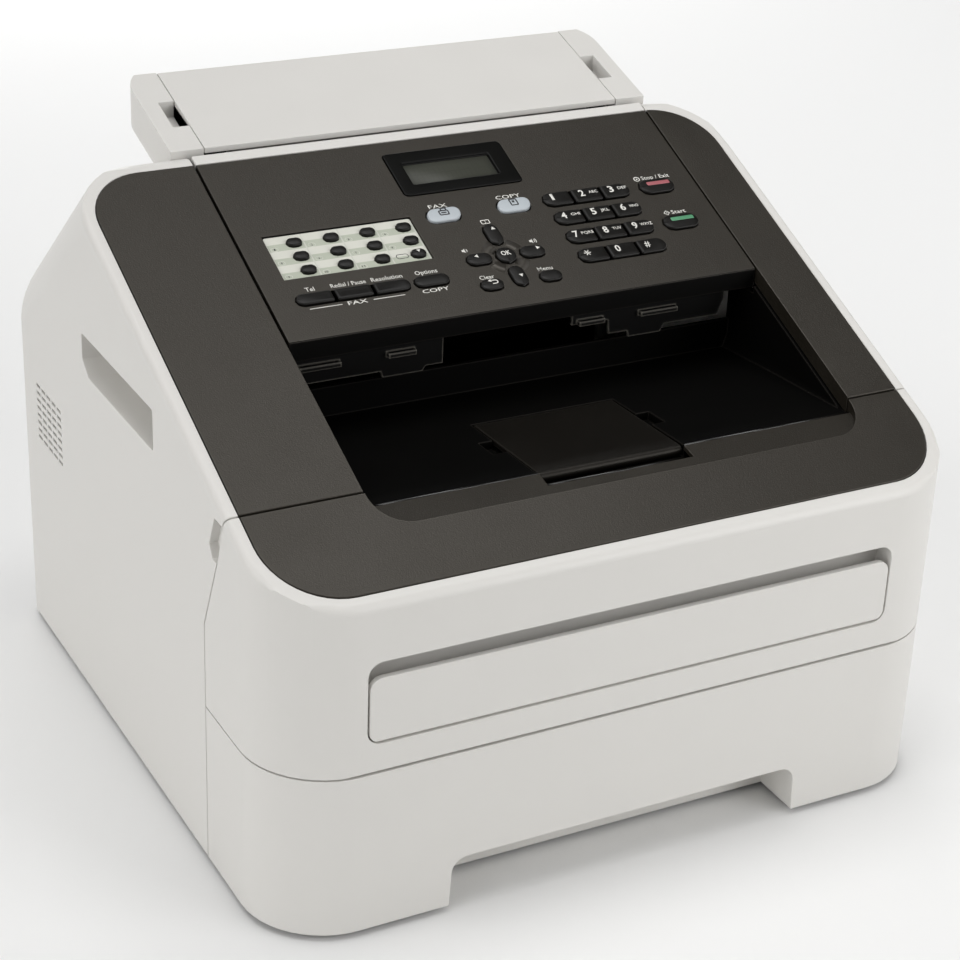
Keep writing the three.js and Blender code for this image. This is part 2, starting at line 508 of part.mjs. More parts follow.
keys.push({ name: 'key_right', corners: across(NAV.x + NAV.ring, NAV.x + NAV.ring + NAV.length - 0.6) });
keys.push({ name: 'key_ok', corners: rectangle(NAV.x - 5.4, NAV.x + 5.4, NAV.v - 5.4, NAV.v + 5.4,
  evenCorners(5.35)) });
const LOWER_ROW = [-25.2, -18];
keys.push({ name: 'key_clear', corners: pill(-6, 6.2, ...LOWER_ROW) });
keys.push({ name: 'key_menu', corners: pill(27.2, 39.4, ...LOWER_ROW) });
keys.push({ name: 'key_stop', corners: pill(112.5, 133, 25.4, 35.6) });
keys.push({ name: 'key_start', corners: pill(112.5, 133, -2.7, 7.5) });

// Key outline moved outwards: opposite corners move apart and their radii grow.
function grown(corners, by) {
  const u = corners.map((c) => c[0]);
  const v = corners.map((c) => c[1]);
  const [cu, cv] = [(Math.min(...u) + Math.max(...u)) / 2, (Math.min(...v) + Math.max(...v)) / 2];
  return corners.map(([a, b, r]) => [a + Math.sign(a - cu) * by, b + Math.sign(b - cv) * by, r + by]);
}

const PLATE = { x0: -101.5, x1: -21.5, v0: 3.2, v1: 33.4, h0: -1.8, h1: -0.9 };
const STUD = { x: -86.9, v: 27.5, dx: 19.83, dv: 9.8, w: 8, d: 5.4 };
const studOutlines = [];
for (let j = 0; j < 3; j += 1) {
  for (let i = 0; i < 4; i += 1) {
    const x = STUD.x + i * STUD.dx;
    const v = STUD.v - j * STUD.dv;
    studOutlines.push(pill(x - STUD.w / 2, x + STUD.w / 2, v - STUD.d / 2, v + STUD.d / 2));
  }
}
const SCREEN = { x0: -17.2, x1: 51, v0: 48.3, v1: 80.5, glass: [-9.2, 40.5, 56, 72] };

function controlPanel() {
  let body = onTop(rectangle(PANEL.x0, PANEL.x1, PANEL.v0, PANEL.v1), -PANEL.thick, 0);
  const lip = side([[PANEL_LIP + 0.02, topAt(PANEL_LIP) - LIP_DROP],
    [PANEL_LIP + 0.02, topAt(PANEL_LIP) - 0.6],
    [PANEL_LIP + WALL, topAt(PANEL_LIP) - 0.6], [PANEL_LIP + WALL, topAt(PANEL_LIP) - LIP_DROP]], PANEL.x0,
      PANEL.x1);
  const cheek = (x0, x1) => common(topLayer(-9, -1, PANEL_LIP + 1, 70), betweenX(x0, x1));
  body = join(body, lip, cheek(PANEL.x0, PANEL.x0 + WALL), cheek(PANEL.x1 - WALL, PANEL.x1));
  const openings = [...wells, ...keys.slice(rowKeys).map((key) => key.corners)];
  for (const opening of openings) body = cut(body, onTop(grown(opening, 0.35), -10, 5, 45));
  body = cut(body, onTop(rectangle(PLATE.x0 - 0.3, PLATE.x1 + 0.3, PLATE.v0 - 0.3, PLATE.v1 + 0.3),
    PLATE.h0 - 0.3, 5));
  for (const stud of studOutlines) body = cut(body, onTop(grown(stud, 0.35), -10, 5, 90));
  const s = SCREEN;
  return cut(body, onTop(rectangle(s.x0 - 0.3, s.x1 + 0.3, s.v0 - 0.3, s.v1 + 0.3, evenCorners(2.8)), -10,
    5, 30));
}
addSolid('control_panel', controlPanel(), BLACK());

function rearStrip() {
  return onTop(rectangle(PANEL.x0, PANEL.x1, PANEL.v1 + FIT, alongTop(88.9)), -PANEL.thick, 0.2);
}
addSolid('panel_rear_strip', rearStrip(), LIGHT());

function screenWindow() {
  const { x0, x1, v0, v1, glass } = SCREEN;
  const frame = onTop(rectangle(x0, x1, v0, v1, evenCorners(2.6)), -6, 0.6, 30);
  return cut(frame, onTop(rectangle(...glass, evenCorners(0.8)), -1.2, 5, 45));
}
addSolid('screen_window', screenWindow(), finish('#0c0c0c', 0.25));

function labelPlate() {
  let body = onTop(rectangle(PLATE.x0, PLATE.x1, PLATE.v0, PLATE.v1, evenCorners(1)), PLATE.h0, PLATE.h1, 45);
  for (const stud of studOutlines) body = cut(body, onTop(grown(stud, 0.35), -10, 5, 90));
  return body;
}
addSolid('one_touch_plate', labelPlate(), finish('#cfcfc2', 0.5));

function oneTouchKeypad() {
  let body = onTop(rectangle(PLATE.x0 + 3, PLATE.x1 - 1, PLATE.v0 + 1, PLATE.v1 - 1), -5, -3.4);
  for (const stud of studOutlines) body = join(body, onTop(stud, -4.6, 0.7, 45));
  return body;
}
addSolid('one_touch_keypad', oneTouchKeypad(), KEYCAP());

// Keys: an outline with a bevelled crown, placed in the panel's own frame.
function keyMesh({ name, corners, color }) {
  const u = corners.map((c) => c[0]);
  const v = corners.map((c) => c[1]);
  const centre = [(Math.min(...u) + Math.max(...u)) / 2, (Math.min(...v) + Math.max(...v)) / 2];
  const local = corners.map(([a, b, r]) => [a - centre[0], b - centre[1], r]);
  const bevel = 0.6;
  const skirt = solid(extruded(outline(local, 45), KEY_HEAD - bevel + 4).translate(0, 0, -4));
  const crown = solid(extruded(outline(grown(local, -bevel), 45), 1).translate(0, 0, KEY_HEAD - 1));
  const { vertProperties, triVerts } = join(skirt, crown).getMesh();
  const geometry = new THREE.BufferGeometry();
  geometry.setAttribute('position', new THREE.BufferAttribute(vertProperties, 3));
  geometry.setIndex(new THREE.BufferAttribute(triVerts, 1));
  const mesh = new THREE.Mesh(geometry, color ? finish(color, 0.45) : KEYCAP());
  mesh.name = name;
  mesh.position.set(centre[0], centre[1], 0);
  panelGroup.add(mesh);
}
keys.forEach(keyMesh);

// Two exit guides on one carrier, hanging behind the panel's lip.
function exitGuide() {
  const y0 = PANEL_LIP + WALL + FIT;
  const top = topAt(PANEL_LIP) - LIP_DROP + 6;
  const lower = (points) => front([...points.map(([x, z]) => [x, z]), [points.at(-1)[0], top],
    [points[0][0], top]], y0, y0 + 2.2);
  const left = lower([[-112, 211], [-66, 211], [-65, 207.5], [-43, 207.5], [-41.5, 210], [-32, 210]]);
  const right = lower([[40, 218.4], [61, 218.4], [62, 210.5], [73, 210.5], [74, 207], [93, 207],
    [95.5, 211], [127.5, 211], [131, 220]]);
  const rail = box(-112, 141, y0, y0 + 2.2, top - 4, top);
  const tab = (x0, x1) => box(x0, x1, y0 - 3.2, y0 + 0.5, 218.4, 221);
  return join(rail, left, right, tab(-110, -88), tab(-63, -48), tab(43, 58), tab(79, 101));
}
addSolid('document_exit_guide', exitGuide(), INNER());

// ---------------------------------------------------------------- document path under the panel
const BED = { x0: -112, x1: 143, v0: -26, v1: 84, h0: -18, h1: -15 };
function scannerBed() {
  const plate = onTop(rectangle(BED.x0, BED.x1, BED.v0, BED.v1), BED.h0, BED.h1);
  const glass = onTop(rectangle(-98, 126, 8, 26), BED.h1 - 0.5, BED.h1 + 0.8);
  const window = onTop(rectangle(-22, 50, 55, 90), -30, 0);
  return cut(join(plate, glass), window);
}
addSolid('scanner_bed', scannerBed(), INNER());

const FEED_ROLLER = { y: 68, z: 263.4, r: 8 };
const feedRoller = () => join(bar(-14, 42, FEED_ROLLER.y, FEED_ROLLER.z, FEED_ROLLER.r, 20),
  bar(-19, 47, FEED_ROLLER.y, FEED_ROLLER.z, 2.5, 12));
addSolid('document_feed_roller', feedRoller(), RUBBER());

// ---------------------------------------------------------------- document tray with its flap and guides
const CHANNEL = 9; // depth of the paper channel under the flap
const tilt = Math.sqrt(1 + SLAB_RISE ** 2);
function slabLayer(d0, d1, y0, y1, x0, x1) {
  return side([[y0, slabAt(y0) - d1 * tilt], [y1, slabAt(y1) - d1 * tilt], [y1, slabAt(y1) - d0 * tilt],
    [y0, slabAt(y0) - d0 * tilt]], x0, x1);
}
function documentTray() {
  const lean = SLAB_DEPTH * SLAB_RISE; // the rear face stands square to the upper face
  const profile = side([[SLAB_FRONT[0], slabAt(SLAB_FRONT[0]) - slabDrop],
    [SLAB_BACK[0] + lean, SLAB_BACK[1] - SLAB_DEPTH, 4],
    [SLAB_BACK[0] + 0.4, SLAB_BACK[1] + 0.1, 0.8], [SLAB_FRONT[0], slabAt(SLAB_FRONT[0])]], -220, 220, 20);
  const block = common(profile, plan(slabOutline(0), 230, 330, 10));
  const channel = slabLayer(-5, CHANNEL, 80, 156.5, FLAP_SIDES[0], FLAP_SIDES[1]);
  const flapSeat = slabLayer(-5, 4.2, 80, 190, FLAP_SIDES[0], FLAP_SIDES[1]);
  const fingers = (x0, x1) => slabLayer(-5, 8.5, 113.6, 135.4, x0, x1);
  const hollow = common(slabLayer(CHANNEL + WALL, 60, 98, 160, SLAB_SIDES[0] + WALL, SLAB_SIDES[1] - WALL),
    betweenX(SLAB_SIDES[0] + 12, SLAB_SIDES[1] - 12));
  return cut(block, channel, flapSeat, fingers(-115.6, -100), fingers(130, 143.2), hollow);
}
addSolid('document_tray', documentTray(), LIGHT());

const FLAP_HINGE = { y: 160.2, drop: 2.2 };
function documentFlap() {
  const [x0, x1] = [FLAP_SIDES[0] + LINE / 2, FLAP_SIDES[1] - LINE / 2];
  const leaf = slabLayer(0, 3, SLAB_FRONT[0] + 0.2, FLAP_HINGE.y, x0, x1);
  const barrel = bar(x0, x1, FLAP_HINGE.y, slabAt(FLAP_HINGE.y) - FLAP_HINGE.drop, 1.9, 16);
  return join(leaf, barrel);
}
addSolid('document_flap', documentFlap(), LIGHT());

function documentGuide(x0, x1, fence) {
  const foot = slabLayer(CHANNEL - 1.8, CHANNEL - FIT, 98, 150, x0, x1);
  return join(foot, slabLayer(3.8, CHANNEL - FIT, 98, 150, Math.min(fence, fence + 1.6),
    Math.max(fence, fence + 1.6)));
}
addSolid('document_guide_left', documentGuide(-104.5, -93, -94.6), BLACK());
addSolid('document_guide_right', documentGuide(120.7, 132.2, 120.7), BLACK());

// ---------------------------------------------------------------- printing units
const PICKUP = { y: -102, z: 82, r: 13 };
const pickupRoller = () => join(bar(-22, 22, PICKUP.y, PICKUP.z, PICKUP.r, 24),
  bar(-30, 30, PICKUP.y, PICKUP.z, 4, 12));
addSolid('pickup_roller', pickupRoller(), RUBBER());

function tonerCartridge() {
  const body = side([[-158, 112, 8], [-98, 104, 8], [-98, 150, 12], [-140, 168, 16], [-158, 158, 14]], -118,
    118, 15);
  return join(body, side([[-150, 150], [-128, 150], [-128, 176, 4], [-150, 172, 4]], -30, 30, 30));
}
addSolid('toner_cartridge', tonerCartridge(), INNER());

function drumUnit() {
  const frame = side([[-96.5, 98], [-10, 98], [4, 112, 8], [4, 152, 10], [-96.5, 152]], -128, 128, 20);
  const exposed = side([[-60, 90], [-26, 90], [-30, 106], [-56, 106]], -112, 112);
  return join(cut(frame, exposed), bar(-113, 113, -43, 112, 11, 24));
}
addSolid('drum_unit', drumUnit(), BLACK());

function fuserUnit() {
  const frame = side([[96, 104], [150, 104], [150, 150, 8], [132, 166, 8], [96, 166, 8]], -132, 132, 20);
  const mouth = side([[90, 130], [112, 126], [112, 140], [90, 140]], -118, 118);
  return cut(frame, mouth);
}
addSolid('fuser_unit', fuserUnit(), METAL());

function mainBoard() {
  const board = box(-152, -150.4, -60, 140, 98, 182);
  const chips = [[-40, 120, 24], [10, 140, 30], [70, 112, 20], [100, 150, 26]];
  return join(board, ...chips.map(([y, z, s]) => box(-150.6, -146, y, y + s, z, z + s)));
}
addSolid('main_board', mainBoard(), finish('#2f5a3a', 0.6));

export default machine;
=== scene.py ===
# %% [markdown]
# # A desktop fax machine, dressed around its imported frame
# The CAD frame already holds every part at its real size, and it moves. What it lacks is the surface:
# soft mould edges, grain, printed legends, rubber keys and the dark gloss of the display. Each step
# below takes one kind of surface, says what it is on the real machine, and makes it.

import json
import math

import bmesh
import bpy
import numpy as np
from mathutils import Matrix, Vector
from mathutils.bvhtree import BVHTree


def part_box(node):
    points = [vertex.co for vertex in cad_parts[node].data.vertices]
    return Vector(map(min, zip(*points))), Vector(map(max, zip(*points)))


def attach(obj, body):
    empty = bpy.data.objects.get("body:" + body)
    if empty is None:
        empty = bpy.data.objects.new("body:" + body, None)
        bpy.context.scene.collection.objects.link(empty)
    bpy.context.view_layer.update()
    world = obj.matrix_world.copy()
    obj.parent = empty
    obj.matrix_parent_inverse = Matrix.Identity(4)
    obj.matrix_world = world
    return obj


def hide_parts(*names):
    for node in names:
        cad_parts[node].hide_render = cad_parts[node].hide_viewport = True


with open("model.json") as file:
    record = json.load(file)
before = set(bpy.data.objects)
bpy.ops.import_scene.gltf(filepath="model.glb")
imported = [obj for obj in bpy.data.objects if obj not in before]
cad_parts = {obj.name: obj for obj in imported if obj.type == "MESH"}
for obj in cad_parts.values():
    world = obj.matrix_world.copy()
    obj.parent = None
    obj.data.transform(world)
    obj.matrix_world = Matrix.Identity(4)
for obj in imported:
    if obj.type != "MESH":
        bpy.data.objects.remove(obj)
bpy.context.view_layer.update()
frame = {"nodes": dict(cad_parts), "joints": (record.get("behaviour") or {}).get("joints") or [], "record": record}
NODES = frame["nodes"]
BODY_OF = {node: body for body, nodes in frame["record"]["behaviour"]["bodies"].items() for node in nodes}
SLOT_OF = {part["node"]: part["material_slot"] for part in frame["record"]["subparts"]}
MM = 0.001
SCENE = bpy.context.scene

# %% [markdown]
# Everything on the control panel is easiest to place in the panel's own terms: x across, v uphill along
# its sloping face, h above that face. The slope needs no number of its own. A key presses square to the
# panel, so the direction of its joint gives the face's normal, and the panel's mesh gives its height.

# %% The panel's own coordinates
def values_of(items, field, width, kind=np.float32):
    """One field of many mesh items as an array, with a row of width values for each item."""
    values = np.empty(len(items) * width, kind)
    items.foreach_get(field, values)
    return values.reshape(-1, width)


def points_of(mesh):
    """A mesh's corner points, as rows (x, y, z)."""
    return values_of(mesh.vertices, "co", 3).astype(float)


def corners_of(node):
    """A CAD node's corner points, as rows (x, y, z) in metres."""
    return points_of(NODES[node].data)


def triangles_of(node):
    """A CAD node's triangles, as rows of three corner numbers."""
    return values_of(NODES[node].data.loops, "vertex_index", 1, np.int32).reshape(-1, 3)


press = next(joint for joint in frame["joints"] if joint["name"] == "key_5_press")
UP = -np.array(press["axis"]) / np.linalg.norm(press["axis"])
ACROSS = np.array((1.0, 0.0, 0.0))
UPHILL = np.cross(UP, ACROSS)
FACE = np.array((0.0, 0.0, (corners_of("control_panel") @ UP).max() / UP[2]))


def on_panel(x, v, h):
    """Panel terms in millimetres to points in metres: the face's zero point, plus x across, v uphill
    and h along the normal."""
    x, v, h = np.broadcast_arrays(np.asarray(x, float), v, h)
    return FACE + MM * (x[..., None] * ACROSS + v[..., None] * UPHILL + h[..., None] * UP)


def panel_terms(points):
    """Points in metres to rows (x, v, h) in millimetres: the reverse of on_panel."""
    return (points - FACE) @ np.stack([ACROSS, UPHILL, UP], 1) / MM


def panel_box(node):
    """A node's lowest and highest (x, v, h)."""
    local = panel_terms(corners_of(node))
    return local.min(0), local.max(0)


def middle_of(node):
    """The (x, v) in the middle of a node's box."""
    low, high = panel_box(node)
    return (low[:2] + high[:2]) / 2


print("the panel slopes at", round(math.degrees(math.atan2(UPHILL[2], UPHILL[1])), 1), "degrees")

# %% [markdown]
# The camera stands in front, to the left and above, with a long lens, as for a catalogue picture: a long
# lens keeps the sides of a box almost parallel. It leans a couple of degrees.

# %% Camera
def add_camera(place, turn, lens):
    """A camera at a place in metres, turned by three angles in degrees, with a lens in millimetres."""
    data = bpy.data.cameras.new("view")
    data.lens, data.sensor_width = lens, 36.0
    data.clip_start, data.clip_end = 0.05, 50.0
    camera = bpy.data.objects.new("view", data)
    camera.location = place
    camera.rotation_euler = [math.radians(angle) for angle in turn]
    SCENE.collection.objects.link(camera)
    SCENE.camera = camera
    return camera


camera = add_camera(place=(-0.5141, -0.9609, 0.6596), turn=(63.883, -2.137, -27.497), lens=86.85)
print("camera", [round(v, 3) for v in camera.location], "lens", round(camera.data.lens, 1), "mm")

# %% [markdown]
# White and black plastic side by side want broad, soft light: the white shows form by gentle falls of
# tone, and the black only by what it reflects. Very wide suns stand for a lit studio ceiling and a white
# wall at the left, so the floor is pale from edge to edge. Softboxes add what only a near light can: they
# lift the right side and the back, and one overhead puts a soft sheen on the black slope. The room gives
# almost no light of its own.

# %% Floor
def node_of(tree, kind):
    """The tree's first node of a kind."""
    return next(node for node in tree.nodes if node.type == kind)


def surface_material(name):
    """A new material, its tree and its Principled shader."""
    material = bpy.data.materials.new(name)
    material.use_nodes = True
    return material, material.node_tree, node_of(material.node_tree, "BSDF_PRINCIPLED")


def feed(tree, socket, value):
    """Links an output to a socket, or sets the socket to a number or a colour."""
    if isinstance(value, bpy.types.NodeSocket):
        tree.links.new(value, socket)
    else:
        socket.default_value = value


def paint(tree, node, **values):
    """Feeds a node's inputs by name; an underscore in a name stands for a space."""
    for name, value in values.items():
        feed(tree, node.inputs[name.replace("_", " ")], value)


def add_floor(radius):
    """A pale disc under the machine, as one flat round face."""
    angle = np.linspace(0, 2 * math.pi, 96, endpoint=False)
    rim = np.stack([radius * np.cos(angle), radius * np.sin(angle), 0 * angle], -1)
    mesh = bpy.data.meshes.new("floor")
    mesh.from_pydata(rim.tolist(), [], [list(range(96))])
    floor = bpy.data.objects.new("floor", mesh)
    material, tree, shader = surface_material("pale_floor")
    paint(tree, shader, Base_Color=(0.86, 0.86, 0.855, 1), Roughness=0.8, Specular_IOR_Level=0.1)
    mesh.materials.append(material)
    SCENE.collection.objects.link(floor)


add_floor(6.0)


# %% Studio light
def add_softbox(name, place, aim, size, power):
    """A rectangular area light at a place, turned to face the point that it aims at."""
    data = bpy.data.lights.new(name, "AREA")
    data.shape, data.size, data.size_y, data.energy = "RECTANGLE", size[0], size[1], power
    lamp = bpy.data.objects.new(name, data)
    lamp.location = place
    lamp.rotation_euler = (Vector(aim) - Vector(place)).to_track_quat("-Z", "Y").to_euler()
    SCENE.collection.objects.link(lamp)


def add_sun(name, toward, spread, strength):
    """Even light from a direction, soft as a round patch of sky that is spread degrees wide."""
    data = bpy.data.lights.new(name, "SUN")
    data.energy, data.angle = strength, math.radians(spread)
    lamp = bpy.data.objects.new(name, data)
    lamp.rotation_euler = Vector(toward).to_track_quat("Z", "Y").to_euler()
    SCENE.collection.objects.link(lamp)


def add_room(glow, backdrop):
    """A pale room: it shines with strength glow on the machine, and looks as bright as backdrop."""
    world = bpy.data.worlds.new("room")
    world.use_nodes = True
    tree = world.node_tree
    light, output = node_of(tree, "BACKGROUND"), node_of(tree, "OUTPUT_WORLD")
    seen, either = tree.nodes.new("ShaderNodeBackground"), tree.nodes.new("ShaderNodeMixShader")
    for node, strength in ((light, glow), (seen, backdrop)):
        paint(tree, node, Color=(1.0, 0.995, 0.985, 1), Strength=strength)
    by_eye = tree.nodes.new("ShaderNodeLightPath").outputs["Is Camera Ray"]
    for socket, value in zip(either.inputs, (by_eye, light.outputs[0], seen.outputs[0])):
        feed(tree, socket, value)
    paint(tree, output, Surface=either.outputs[0])
    SCENE.world = world


MIDDLE = (0, 0, 0.16)
add_room(glow=0.03, backdrop=0.80)
add_sun("ceiling", (0.05, 0.03, 1), 42, 0.93)
add_sun("ceiling_left", (-0.35, 0.3, 0.85), 50, 0.56)
add_sun("ceiling_front", (0, -0.6, 0.8), 60, 0.14)
add_sun("left_wall", (-1, -0.2, 0.35), 60, 1.62)
add_softbox("front_right", (1.3, -1.7, 0.9), MIDDLE, (1.4, 1.4), 21)
add_softbox("right", (2.0, -0.3, 0.8), MIDDLE, (1.4, 1.4), 6.5)
add_softbox("rear", (0.5, 2.2, 0.8), MIDDLE, (1.6, 1.2), 14)
add_softbox("overhead", (0.30, -0.02, 1.26), (-0.1, -0.16, 0.19), (0.4, 0.5), 1.35)
SCENE.view_settings.view_transform = "Standard"

# %% [markdown]
# All the covers are moulded in tools with a spark-eroded grain: a fine, even roughness that breaks up
# highlights. The same effect is wanted in many finishes at other sizes, so it is one node group. It
# gives a height for a Bump node and a slow mottle for tone and roughness. A second group finds edges by
# comparing the true normal with a rounded one; finishes make such edges a little less rough, as hands and
# dusters polish them, and some paint them paler, a painted highlight.

# %% Moulded grain
def shader_group(name, inputs, outputs):
    """A new node group with inputs (name, default) and named outputs, all of them numbers."""
    group = bpy.data.node_groups.new(name, "ShaderNodeTree")
    for label, default in inputs:
        socket = group.interface.new_socket(label, in_out="INPUT", socket_type="NodeSocketFloat")
        socket.default_value = default
    for label in outputs:
        group.interface.new_socket(label, in_out="OUTPUT", socket_type="NodeSocketFloat")
    return group, group.nodes.new("NodeGroupInput"), group.nodes.new("NodeGroupOutput")


def calc(tree, operation, *values):
    """A Math node; each value is a number for its socket or an output to link to it."""
    node = tree.nodes.new("ShaderNodeMath")
    node.operation = operation
    for socket, value in zip(node.inputs, values):
        feed(tree, socket, value)
    return node.outputs[0]


def noise(tree, place, scale, roughness=0.5):
    """Fractal noise between 0 and 1 at a point; the scale is in cells per unit of the point."""
    node = tree.nodes.new("ShaderNodeTexNoise")
    paint(tree, node, Scale=scale, Detail=3.0, Roughness=roughness, Vector=place)
    return node.outputs["Fac"]


def build_moulded_grain():
    """Noise on the piece's own coordinates: cells of the given size for height, clouds of 30 mm for
    mottle."""
    group, given, out = shader_group("moulded_grain", [("Cell", 0.4 * MM)], ["Height", "Mottle"])
    place = group.nodes.new("ShaderNodeTexCoord").outputs["Object"]
    shrink = group.nodes.new("ShaderNodeVectorMath")
    shrink.operation = "SCALE"
    paint(group, shrink, Vector=place, Scale=calc(group, "DIVIDE", 1.0, given.outputs["Cell"]))
    fine = noise(group, shrink.outputs[0], 1.0, roughness=0.65)
    paint(group, out, Height=fine, Mottle=noise(group, place, 1 / (30 * MM)))
    return group


GRAIN = build_moulded_grain()
print("grain gives", [socket.name for socket in GRAIN.nodes["Group Output"].inputs if socket.name])


# %% Polished edges and painted edge highlights
def build_edge_polish_and_highlight():
    """One minus the dot product of the true normal and a normal rounded over the radius, made steep."""
    group, given, out = shader_group("edge_polish_and_highlight", [("Gain", 12.0)], ["Mask"])
    rounded = group.nodes.new("ShaderNodeBevel")
    rounded.samples = 4
    paint(group, rounded, Radius=1.2 * MM)
    dot = group.nodes.new("ShaderNodeVectorMath")
    dot.operation = "DOT_PRODUCT"
    true = group.nodes.new("ShaderNodeNewGeometry").outputs["Normal"]
    for socket, normal in zip(dot.inputs, (true, rounded.outputs[0])):
        feed(group, socket, normal)
    turned_away = calc(group, "SUBTRACT", 1.0, dot.outputs["Value"])
    steep = calc(group, "MULTIPLY", turned_away, given.outputs["Gain"])
    paint(group, out, Mask=calc(group, "MINIMUM", steep, 1.0))
    return group


EDGE_POLISH_AND_HIGHLIGHT = build_edge_polish_and_highlight()
print("shader groups:", [group.name for group in bpy.data.node_groups])

# %% [markdown]
# One function mixes every plastic: a colour with a slow mottle, a roughness that the mottle and the
# polished edges shift a little, and the grain as bump. Each finish is then a line of values. The black of
# the covers is a warm grey that shines a little. The black inside the bin is made far darker, as painted
# shade, and the edges of thin black ribs are painted pale, a painted highlight, so they read as fine lines
# in the dark.

# %% One maker for every plastic
def mix_colour(tree, factor, first, second):
    """A colour between two, by a factor from 0 to 1. Each is three numbers, or an output to link."""
    node = tree.nodes.new("ShaderNodeMix")
    node.data_type = "RGBA"
    paint(tree, node, Factor=factor)
    for socket, colour in ((node.inputs[6], first), (node.inputs[7], second)):
        feed(tree, socket, (*colour, 1) if isinstance(colour, tuple) else colour)
    return node.outputs[2]


def grain_node(tree, cell=0.4):
    """The grain as a node of a material, with cells of a size in millimetres."""
    node = tree.nodes.new("ShaderNodeGroup")
    node.node_tree = GRAIN
    paint(tree, node, Cell=cell * MM)
    return node


def wandering(tree, grain, middle, span):
    """A number that the mottle carries half a span to either side of its middle."""
    return calc(tree, "MULTIPLY_ADD", grain.outputs["Mottle"], span, middle - span / 2)


def plastic(name, color, roughness, cell, depth, mottle, edge=0.0, rim=None, **extra):
    """Moulded plastic. Colour and roughness are for the plain face; cell and depth are the grain's, in
    millimetres; mottle is the share by which tone wanders; edge is how far polished edges lose roughness,
    and rim is a paler colour painted on those edges as a highlight."""
    material, tree, shader = surface_material(name)
    grain = grain_node(tree, cell)
    dark = tuple(channel * (1 - mottle) for channel in color)
    light = tuple(channel * (1 + mottle) for channel in color)
    tone = mix_colour(tree, grain.outputs["Mottle"], dark, light)
    rough = wandering(tree, grain, roughness, span=0.12)
    if edge:
        polish_and_highlight_mask = tree.nodes.new("ShaderNodeGroup")
        polish_and_highlight_mask.node_tree = EDGE_POLISH_AND_HIGHLIGHT
        rough = calc(tree, "MULTIPLY_ADD", polish_and_highlight_mask.outputs["Mask"], -edge, rough)
        # painted highlight: the edge mask mixes the paler rim colour into the tone
        if rim:
            tone = mix_colour(tree, polish_and_highlight_mask.outputs["Mask"], tone, rim)
    bump = tree.nodes.new("ShaderNodeBump")
    paint(tree, bump, Strength=1.0, Distance=depth * MM, Height=grain.outputs["Height"])
    paint(tree, shader, Base_Color=tone, Roughness=rough, Normal=bump.outputs["Normal"], **extra)
    return material


CASING = plastic("casing_white", (0.70, 0.685, 0.655), 0.42, 0.30, 0.006, 0.015)
print("the white casing has", len(CASING.node_tree.nodes), "nodes")

# %% The other finishes
WARM = {"Specular_Tint": (1.0, 0.94, 0.85, 1)}
# name, colour, roughness, cell and depth of the grain, share of mottle
# the rim colours below are painted highlights along edges
COVER = plastic("cover_black", (0.0100, 0.0080, 0.0052), 0.42, 0.80, 0.13, 0.10,
                edge=0.10, rim=(0.020, 0.017, 0.013), Specular_IOR_Level=0.60, **WARM)
FLAP = plastic("flap_black", (0.0045, 0.0038, 0.0029), 0.42, 0.7, 0.08, 0.10, edge=0.15,
               rim=(0.030, 0.027, 0.023), Specular_IOR_Level=0.28, **WARM)
GUIDE = plastic("guide_black", (0.0010, 0.0009, 0.0008), 0.50, 0.8, 0.004, 0.10, edge=0.2,
                rim=(0.16, 0.15, 0.13), Specular_IOR_Level=0.12)
POLISHED = plastic("polished_black", (0.006, 0.0055, 0.005), 0.22, 0.5, 0.001, 0.05,
                   Specular_IOR_Level=0.9)
# painted shade: the black inside the bin is far darker than the cover black
INNER_BLACK_PAINTED_SHADE = plastic("inner_black", (0.0012, 0.0011, 0.0009), 0.55, 0.5, 0.02, 0.1, edge=0.1,
                rim=(0.016, 0.014, 0.012), Specular_IOR_Level=0.07)
KEYCAP = plastic("key_rubber", (0.0058, 0.0052, 0.0044), 0.38, 0.2, 0.004, 0.08, edge=0.1,
                 Specular_IOR_Level=0.24)
MODE_KEY = plastic("key_grey", (0.47, 0.51, 0.54), 0.35, 0.2, 0.003, 0.02)
BEZEL = plastic("display_black", (0.0028, 0.0028, 0.0024), 0.30, 3.0, 0.001, 0.05,
                Specular_IOR_Level=0.12)
INK = plastic("legend_white", (0.80, 0.79, 0.74), 0.5, 0.2, 0.001, 0.03)
DARK_INK = plastic("legend_grey", (0.04, 0.043, 0.047), 0.5, 0.2, 0.001, 0.05)
PALE_INK = plastic("legend_pale", (0.66, 0.67, 0.60), 0.5, 0.2, 0.001, 0.02)
HAZE = plastic("pad_grey", (0.028, 0.025, 0.021), 0.45, 0.3, 0.006, 0.08,
               Specular_IOR_Level=0.60, **WARM)
RED = plastic("stop_red", (0.38, 0.11, 0.125), 0.4, 0.2, 0.002, 0.06)
GREEN = plastic("start_green", (0.085, 0.29, 0.15), 0.4, 0.2, 0.002, 0.06)
ZINC = plastic("zinc_plate", (0.46, 0.47, 0.48), 0.42, 2.5, 0.004, 0.12, Metallic=1.0)
STEEL = plastic("bright_steel", (0.55, 0.55, 0.54), 0.28, 0.8, 0.002, 0.08, Metallic=1.0)
GOLD = plastic("contact_gold", (0.75, 0.52, 0.20), 0.25, 0.8, 0.001, 0.05, Metallic=1.0)
RUBBER = plastic("roller_rubber", (0.03, 0.03, 0.031), 0.8, 0.15, 0.02, 0.1)
BOARD = plastic("circuit_board", (0.02, 0.09, 0.04), 0.3, 1.4, 0.03, 0.3)
print("finishes:", [m.name for m in bpy.data.materials])

# %% [markdown]
# The covers' shapes are right in CAD, but a CAD edge is a knife edge. A mould's edge is not: light runs
# along a small radius and draws every line of the machine. So each cover becomes a copy of its node with
# its loose triangles merged, its flat areas joined, and its edges rounded: wide where the real cover has
# a soft shoulder, and half a millimetre or less everywhere else. The front lip of the control panel hangs
# over the bin and stays in shade, so it gets the darker finish of the bin.

# %% Covers with moulded edges
EDGE, RIB_EDGE = 0.35, 0.5


